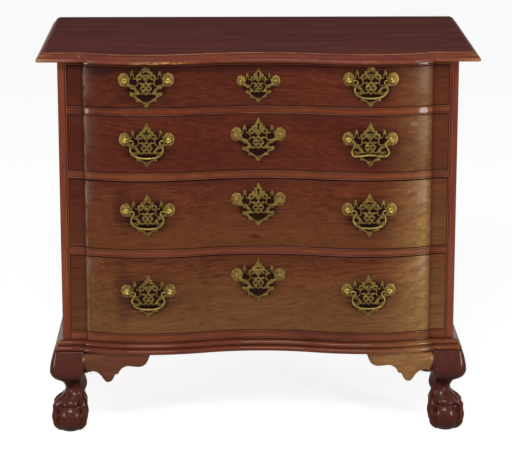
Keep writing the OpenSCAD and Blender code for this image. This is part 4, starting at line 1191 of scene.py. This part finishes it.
# pierced plates, drawn flat in millimetres from the line of the posts, and bent to the front
plate = {
    "thick": 1.6 * mm,
    "gap": 0.1 * mm,
    "up": 41,
    "upper": [(0, 41), (2.2, 37), (4.2, 32.6), (6.2, 28.8), (9.2, 27.2), (9.0, 23.0), (13.0, 21.6), (15.6, 19.8),
              (15.4, 15.6), (19.0, 14.4), (21.2, 12.8), (22.2, 8.6), (24.4, 6.8), (26.6, 7.6), (27.2, 13.0),
              (28.2, 19.4), (30.8, 24.2), (33.4, 19.4), (34.4, 13.0), (35.0, 7.8), (36.8, 7.2)],
    "lobe": {"half": (12.6, 15.4), "centre": (49, 3), "from": 148, "to": -112, "step": 13},
    "lower": [(41, -12.6), (35.2, -13.6), (34, -17), (29, -18.2), (25.4, -19.8), (23.4, -23), (25, -26),
              (30, -25.6), (34.2, -24.6), (36, -28), (34.8, -32.2), (31, -35), (26, -37), (23, -39.4),
              (22.4, -46.4), (16.5, -45.8), (8, -49.6), (5, -54.5), (0, -59)],
    "points": [(0, 41), (9.2, 27.2), (15.6, 19.8), (22.4, -46.4), (23.4, -23)],
    "leaf": [(9, -9.6), (13.5, -7.2), (18, -6.8), (18.6, -10.5), (23.4, -12), (22, -15), (18.6, -18.6),
             (15.5, -23.5), (12.5, -26.6), (8.6, -25.6), (9.2, -23), (12.4, -18.6), (12.6, -14.6)],
    "wing": [(1.6, 0.6), (5.2, 3.0), (8.4, 7.2), (10.8, 3.6), (15.8, 2.4), (16.6, -3.6), (9.6, -3.0), (5.6, -5.0)],
    "ear": [(21.4, 3.2), (26.4, 4.2), (27.8, 7.2), (29.6, 13.4), (32.0, 13.4), (33.2, 6.8), (35.2, 3.4),
            (35.8, -6.4), (29.6, -8.2), (22, -9.6)],
    "stud": [(12.0, 11.8), (16.6, 11.0), (18.0, 7.2), (13.2, 6.6)],
    "low": [(0, -31.4), (3.0, -29.4), (6.0, -27.4), (8.4, -30.0), (14, -29.8), (22.0, -32.4), (18.4, -37.4),
            (13.2, -41.2), (8.2, -45.0), (0, -48.2)],
    "heart": [(-8.8, 17.2), (-6.8, 14.4), (-3, 14), (0, 15.4), (3, 14), (6.8, 14.4), (8.8, 17.2), (5.4, 16.8),
              (3.4, 18.6), (0, 21.2), (-3.4, 18.6), (-5.4, 16.8)],
    "diamonds": [(0, -9), (-5.8, -16.4), (5.8, -16.4), (0, -24)],
    "diamondHalf": 3.1,
    "hole": {"up": 10.4, "radius": 1.8, "steps": 10},
    "dot": {"down": 23, "steps": 12},
    "bevel": 0.38,
    "shell": {"flutes": 14, "dome": 0.55, "flute": 0.42, "in": 0.9, "sunk": 0.12},
}


def bothSides(half):
    return half + [(-x, y) for x, y in reversed(half) if abs(x) > 1e-6]


def plateOutline():
    lobe = plate["lobe"]
    count = (lobe["from"] - lobe["to"]) // lobe["step"] + 1
    ring = [(lobe["centre"][0] + lobe["half"][0] * math.cos(math.radians(lobe["from"] - k * lobe["step"])),
             lobe["centre"][1] + lobe["half"][1] * math.sin(math.radians(lobe["from"] - k * lobe["step"])))
            for k in range(count)]
    return bothSides(plate["upper"] + ring + plate["lower"])


def roundHole(r, up, steps):
    return [(r * math.sin(a), up + r * math.cos(a)) for a in (2 * math.pi * k / steps for k in range(steps))]


# the plate's outline and all its openings; key is "pull", or the keyhole's sizes
def plateLines(key):
    lines = [plateOutline()]
    for name in ("leaf", "wing", "ear", "stud"):
        lines += [plate[name], [(-x, y) for x, y in reversed(plate[name])]]
    lines.append(bothSides(plate["low"]))
    half = plate["diamondHalf"]
    lines += [[(x + half, y), (x, y - half), (x - half, y), (x, y + half)] for x, y in plate["diamonds"]]
    if key == "pull":
        return lines + [plate["heart"], roundHole(plate["hole"]["radius"], plate["hole"]["up"],
                                                  plate["hole"]["steps"])]
    if not key["foot"]:
        return lines + [roundHole(key["radius"], plate["up"] - plate["dot"]["down"], plate["dot"]["steps"])]
    r, slot, foot, up = key["radius"], key["slot"], key["foot"], plate["up"] - keyhole["down"] / mm
    half = [(slot, up - foot), (slot, up - r * 0.75), (r, up), (r * 0.7, up + r * 0.7)]
    return lines + [half + [(0, up + r)] + [(-x, y) for x, y in reversed(half)]]


# the flat plate as a filled curve with bevelled edges, made a mesh in the XZ plane with its back at Y 0
def flatPlate(key, scale):
    curve = bpy.data.curves.new("held", "CURVE")
    curve.dimensions = "2D"
    curve.fill_mode = "BOTH"
    curve.extrude = plate["thick"] / 2 - plate["bevel"] * mm
    curve.bevel_depth = plate["bevel"] * mm
    curve.bevel_resolution = 1
    curve.offset = -plate["bevel"] * mm
    curve.resolution_u = 4
    corners = plate["points"] + [(-x, y) for x, y in plate["points"]]
    lines = plateLines(key)
    for number, line in enumerate(lines):
        spline = curve.splines.new("BEZIER")
        spline.bezier_points.add(len(line) - 1)
        spline.use_cyclic_u = True
        straight = len(line) == 4 or key != "pull" and number == len(lines) - 1 and key["foot"]
        for point, (x, y) in zip(spline.bezier_points, line):
            point.co = (x * scale * mm, y * scale * mm, 0)
            sharpHere = straight or (number == 0 and (x, y) in corners)
            point.handle_left_type = point.handle_right_type = "VECTOR" if sharpHere else "AUTO"
    obj = bpy.data.objects.new("held", curve)
    scene.collection.objects.link(obj)
    bpy.context.view_layer.update()
    mesh = bpy.data.meshes.new_from_object(obj.evaluated_get(bpy.context.evaluated_depsgraph_get()))
    bm = bmesh.new()
    bm.from_mesh(mesh)
    bpy.data.objects.remove(obj)
    bpy.data.curves.remove(curve)
    bpy.data.meshes.remove(mesh)
    bmesh.ops.remove_doubles(bm, verts=bm.verts, dist=1e-6)
    moved(bm, (0, 0, 0), (math.pi / 2, "X"))
    return moved(bm, (0, -plate["thick"] / 2, 0))


# fluted shells on the two round lobes, raised a little over the plate
def shell(scale, side):
    lobe, look = plate["lobe"], plate["shell"]
    rows = []
    for k in range(9):
        share = k / 8
        ring = []
        for j in range(72):
            a = 2 * math.pi * j / 72
            flute = (0.5 + 0.5 * math.cos(look["flutes"] * a)) * math.sin(math.pi * share) ** 0.7
            rise = look["dome"] * math.sqrt(max(1 - share ** 2, 0)) + look["flute"] * flute
            x = side * (lobe["centre"][0] + (lobe["half"][0] - look["in"]) * share * math.cos(a))
            z = lobe["centre"][1] + (lobe["half"][1] - look["in"]) * share * math.sin(a)
            ring.append((x * scale * mm, -plate["thick"] - (rise - look["sunk"]) * mm, z * scale * mm))
        rows.append(closedRow(ring))
    return skin(rows)


def bentPlate(key, scale, centreX, z):
    bm = gather([flatPlate(key, scale), shell(scale, 1), shell(scale, -1)])
    out = front["faceOut"] + plate["gap"]
    for vert in bm.verts:
        x = vert.co.x + centreX
        vert.co = (x, case["frontY"] - faceDepth(x, out) + vert.co.y, vert.co.z + z)
    return bm


# posts, nuts and bails: turned profiles are (radius, distance forward) in millimetres
post = {
    "halfSpan": 48 * mm,
    "seat": 6.4 * mm,
    "seatOut": 0.7 * mm,
    "rosette": [(0, -1), (5.6, -1), (6.3, -0.6), (6.4, 0.2), (6.1, 0.9), (5.5, 1.25), (5.1, 1.3), (5.0, 1.6),
                (5.3, 2.0), (5.2, 2.5), (4.7, 2.8), (4.2, 3.0), (4.1, 3.6)],
    "neck": [(4.25, -3.2), (4.6, -2.2)],    # its distances are from the bail's axis, as the dome's are
    "dome": (4.6, 4.3),
    "shank": {"radius": 2.5, "tip": 2.0, "tipLong": 0.6, "end": 31 * mm},
    "bore": [(0, 0), (1.6, 0), (1.6, 7.6), (0, 7.6)],
    "boreAt": 5.6 * mm,
}
axisY = sum(v.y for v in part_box("bail_3_left")) / 2
nut = {"half": 4.6 * mm, "thick": 3.4 * mm, "in": 24 * mm, "ease": 0.6 * mm, "turn": 0.6}
pinHead = [(0, 1.2), (0.8, 1.1), (1.4, 0.7), (1.6, -0.4), (0, -0.4)]
# half of a bail's line, from its pin to its middle, in shares of the half span and of its drop
bail = {
    "swan": [(0.90, 0), (0.84, 0.015), (0.77, 0.045), (0.70, 0.05), (0.64, 0.01), (0.615, -0.09),
             (0.66, -0.21), (0.725, -0.33), (0.755, -0.45), (0.745, -0.58), (0.69, -0.72), (0.585, -0.84),
             (0.42, -0.93), (0.21, -0.975), (0, -0.99)],
    "flat": [(0.90, 0), (0.84, -0.01), (0.78, -0.035), (0.72, -0.09), (0.70, -0.19), (0.76, -0.36),
             (0.835, -0.56), (0.855, -0.71), (0.79, -0.85), (0.64, -0.895), (0.40, -0.88), (0.18, -0.83),
             (0, -0.82)],
    "drop": 39 * mm,
    "radius": {"swan": 2.1 * mm, "flat": 2.3 * mm},
    "endShare": 0.80,
    "middleMore": 0.50,
    "pin": [(0, 0), (1.5, 0), (1.5, 8.2), (0, 8.2)],
    "collar": [(0, 0), (1.7, 0), (2.5, 0.5), (2.6, 1.1), (2.0, 1.7), (1.6, 2.0), (0, 2.0)],
    "pinShare": 0.87,
    "pinIn": 0.5 * mm,
}


def postMesh(x, z):
    seats = [faceDepth(x + way * post["seat"], post["seatOut"]) for way in (-1, 1)]
    plateY = case["frontY"] - plate["gap"] - max(seats)
    ahead = (plateY - axisY) / mm
    wide, tall = post["dome"]
    dome = [(max(wide * math.cos(math.radians(a)), 0), ahead + tall * math.sin(math.radians(a)))
            for a in range(0, 91, 15)]
    head = turned(post["rosette"] + [(r, ahead + y) for r, y in post["neck"]] + dome)
    look = post["shank"]
    tail = (case["frontY"] + look["end"] - plateY) / mm
    shank = turned([(0, 0), (look["radius"], 0), (look["radius"], look["tipLong"] - tail), (look["tip"], -tail),
                    (0, -tail)], 20)
    return moved(head, (x, plateY, z)), moved(shank, (x, plateY, z))


def nutMesh(x, z):
    half, y = nut["half"], case["frontY"] + nut["in"]
    bm = board((-half, y, -half), (half, y + nut["thick"], half), nut["ease"])
    return moved(bm, (x, 0, z), (dice.uniform(-nut["turn"], nut["turn"]), "Y"))


def bailMesh(shape, x, z):
    half = smoothLine([(a * post["halfSpan"], b * bail["drop"]) for a, b in bail[shape]], 4)
    path = half + [(-a, b) for a, b in reversed(half[:-1])]
    middle = len(half) - 1
    nearness = [(1 - abs(k - middle) / middle) ** 1.5 for k in range(len(path))]
    parts = [rod(path, [bail["radius"][shape] * (bail["endShare"] + bail["middleMore"] * s) for s in nearness])]
    for side in (-1, 1):
        start = side * (bail["pinShare"] * post["halfSpan"] - bail["pinIn"])
        for profile in (bail["pin"], bail["collar"]):
            parts.append(moved(turned(profile, 16), (start, 0, 0), (side * math.pi / 2, "Z")))
    return moved(gather(parts), (x, axisY, z))


for i in range(4):
    n, body = i + 1, "drawer_%d" % (i + 1)
    z, scale = postZ[i], plateScale[i]
    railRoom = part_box("pull_plates_%d" % n)[1].z
    plates, posts = [], []
    for side, sideName in ((-1, "Left"), (1, "Right")):
        bm = bentPlate("pull", 1.0, side * pullX, z)
        if railRoom < z + plate["up"] * mm - 1e-5:    # the first drawer's plates are cut off under the rail
            bmesh.ops.bisect_plane(bm, geom=bm.verts[:] + bm.edges[:] + bm.faces[:], plane_co=(0, 0, railRoom),
                                   plane_no=(0, 0, 1), clear_outer=True)
            bmesh.ops.holes_fill(bm, edges=[e for e in bm.edges if e.is_boundary], sides=0)
        plates.append(bm)
        for way, wayName in ((-1, "Inner"), (1, "Outer")):
            x = side * (pullX + way * post["halfSpan"])
            head, shank = postMesh(x, z)
            bore = moved(turned(post["bore"], 16), (x - side * way * post["boreAt"], axisY, z),
                         (side * way * math.pi / 2, "Z"))
            posts += [carved(head, [bore]), shank]
            piece("nut%d%s%s" % (n, sideName, wayName), nutMesh(x, z), body, postFinish, weighted=True)
    piece("pullPlates%d" % n, gather(plates), body, plateFinish, ["pull_plates_%d" % n], sharp=40)
    piece("pullPosts%d" % n, gather(posts), body, postFinish, ["pull_posts_%d" % n], sharp=40)
    key = {"radius": keyhole["radius"] / mm / scale, "slot": keyhole["slotWidth"] / mm / 2 / scale,
           "foot": keyhole["slotHeight"] / mm if i < 3 else 0}
    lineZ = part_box(body + "_front")[1].z - plateDrop[i] - plate["up"] * mm * scale
    piece("escutcheon%d" % n, bentPlate(key, scale, 0, lineZ), body, plateFinish,
          ["escutcheon_%d" % n], sharp=40)
    pins = []
    for side in (-1, 1):
        x, up = [part * scale * mm for part in plate["lobe"]["centre"]]
        y = case["frontY"] - faceDepth(x, front["faceOut"] + plate["gap"]) - plate["thick"]
        pins.append(moved(turned(pinHead, 14), (side * x, y, lineZ + up)))
    piece("escutcheonPins%d" % n, gather(pins), body, postFinish)

# the upper left pull has lost its bail, and one bail is of another pattern
bails = {"bail_1_right": "swan", "bail_2_left": "swan", "bail_2_right": "flat", "bail_3_left": "swan",
         "bail_3_right": "swan", "bail_4_left": "swan", "bail_4_right": "swan"}
for name, shape in bails.items():
    n, sideName = int(name[5]), name[7:].capitalize()
    x = pullX if sideName == "Right" else -pullX
    piece("bail%d%s" % (n, sideName), bailMesh(shape, x, postZ[n - 1]), name, bailFinish, [name],
          sharp=50)
print("brasses made")

# locks and their bolts
lock = {"gap": 0.3 * mm, "past": 2 * mm, "ease": 0.5 * mm}
for n in (1, 2, 3):
    low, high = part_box("lock_%d" % n)
    boltLow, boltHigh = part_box("lock_bolt_%d" % n)
    body, gap = "drawer_%d" % n, lock["gap"]
    pocketTop = (boltHigh.x + gap, boltHigh.y + gap, high.z + lock["past"])
    pocket = board(boltLow - Vector((gap, gap, gap)), pocketTop, 0)
    piece("lock%d" % n, carved(board(low, high, lock["ease"]), [pocket]), body, lockFinish,
          ["lock_%d" % n], weighted=True)
    screws = [moved(turned(nail["screw"], 12), (x, high.y, z), (math.pi, "Z"))
              for x in (low.x + nail["screwIn"], high.x - nail["screwIn"])
              for z in (low.z + nail["screwIn"], high.z - nail["screwIn"])]
    piece("lockScrews%d" % n, gather(screws), body, nailFinish)
    piece("lockBolt%d" % n, board(boltLow, boltHigh, lock["ease"]), "lock_bolt_%d" % n, postFinish,
          ["lock_bolt_%d" % n], weighted=True)

# camera, turned down and right in degrees, and lights
view = {"place": (-0.0759, -5.0, 1.6791), "down": 14.001, "right": 0.847, "lens": 154.03, "sensor": 36}
camera = bpy.data.objects.new("camera", bpy.data.cameras.new("camera"))
camera.data.lens = view["lens"]
camera.data.sensor_width = view["sensor"]
camera.location = view["place"]
camera.rotation_euler = (math.radians(90 - view["down"]), 0, math.radians(-view["right"]))
scene.collection.objects.link(camera)
scene.camera = camera

lights = {
    "softTop": {"place": (-0.3, -2.7, 2.5), "aim": (0, 0, 0.5), "size": (1.5, 0.8), "power": 60},
    "softLeft": {"place": (-2.2, -1.9, 0.56), "aim": (-0.2, 0, 0.4), "size": (0.34, 0.95), "power": 20},
    "softRight": {"place": (2.0, -2.1, 0.60), "aim": (0.3, 0, 0.4), "size": (0.3, 1.0), "power": 31},
}
for name, lamp in lights.items():
    data = bpy.data.lights.new(name, "AREA")
    data.shape = "RECTANGLE"
    data.size, data.size_y = lamp["size"]
    data.energy = lamp["power"]
    obj = bpy.data.objects.new(name, data)
    obj.location = lamp["place"]
    obj.rotation_euler = (Vector(lamp["aim"]) - Vector(lamp["place"])).to_track_quat("-Z", "Y").to_euler()
    scene.collection.objects.link(obj)

# a white studio to the camera and in reflections, and a dim cool one as light
studio = {"ambient": shade(0.92, 0.94, 1.0), "strength": 0.25, "paper": shade(0.86, 0.86, 0.86),
          "glow": 2.03, "glowShare": 0.40, "floorHalf": 8}
world = bpy.data.worlds.new("studio")
scene.world = world
world.use_nodes = True
sky = Nodes(world.node_tree)
seen = sky.add("ShaderNodeLightPath", output="Is Camera Ray")
shone = sky.add("ShaderNodeLightPath", output="Is Glossy Ray")
plain = sky.add("ShaderNodeMath", {"operation": "MAXIMUM"}, {0: seen, 1: shone})
ambient = sky.add("ShaderNodeBackground", {}, {"Color": studio["ambient"], "Strength": studio["strength"]})
white = sky.add("ShaderNodeBackground", {}, {"Color": shade(1, 1, 1)})
surface = sky.add("ShaderNodeMixShader", {}, {0: plain, 1: ambient, 2: white})
sky.add("ShaderNodeOutputWorld", {}, {"Surface": surface})

# a paper floor that glows a little to the camera, so that it fades into the white and keeps the shadow
floorMesh = bmesh.new()
bmesh.ops.create_grid(floorMesh, x_segments=2, y_segments=2, size=studio["floorHalf"])
mesh = bpy.data.meshes.new("floor")
floorMesh.to_mesh(mesh)
floorMesh.free()
floor = bpy.data.objects.new("floor", mesh)
scene.collection.objects.link(floor)
paper = bpy.data.materials.new("floorPaper")
paper.use_nodes = True
nodes = Nodes(paper.node_tree)
body = nodes.add("ShaderNodeBsdfDiffuse", {}, {"Color": studio["paper"]})
glow = nodes.add("ShaderNodeEmission", {}, {"Color": shade(1, 1, 1), "Strength": studio["glow"]})
share = nodes.add("ShaderNodeLightPath", output="Is Camera Ray") * studio["glowShare"]
surface = nodes.add("ShaderNodeMixShader", {}, {0: share, 1: body, 2: glow})
nodes.add("ShaderNodeOutputMaterial", {}, {"Surface": surface})
mesh.materials.append(paper)
scene.view_settings.view_transform = "Standard"
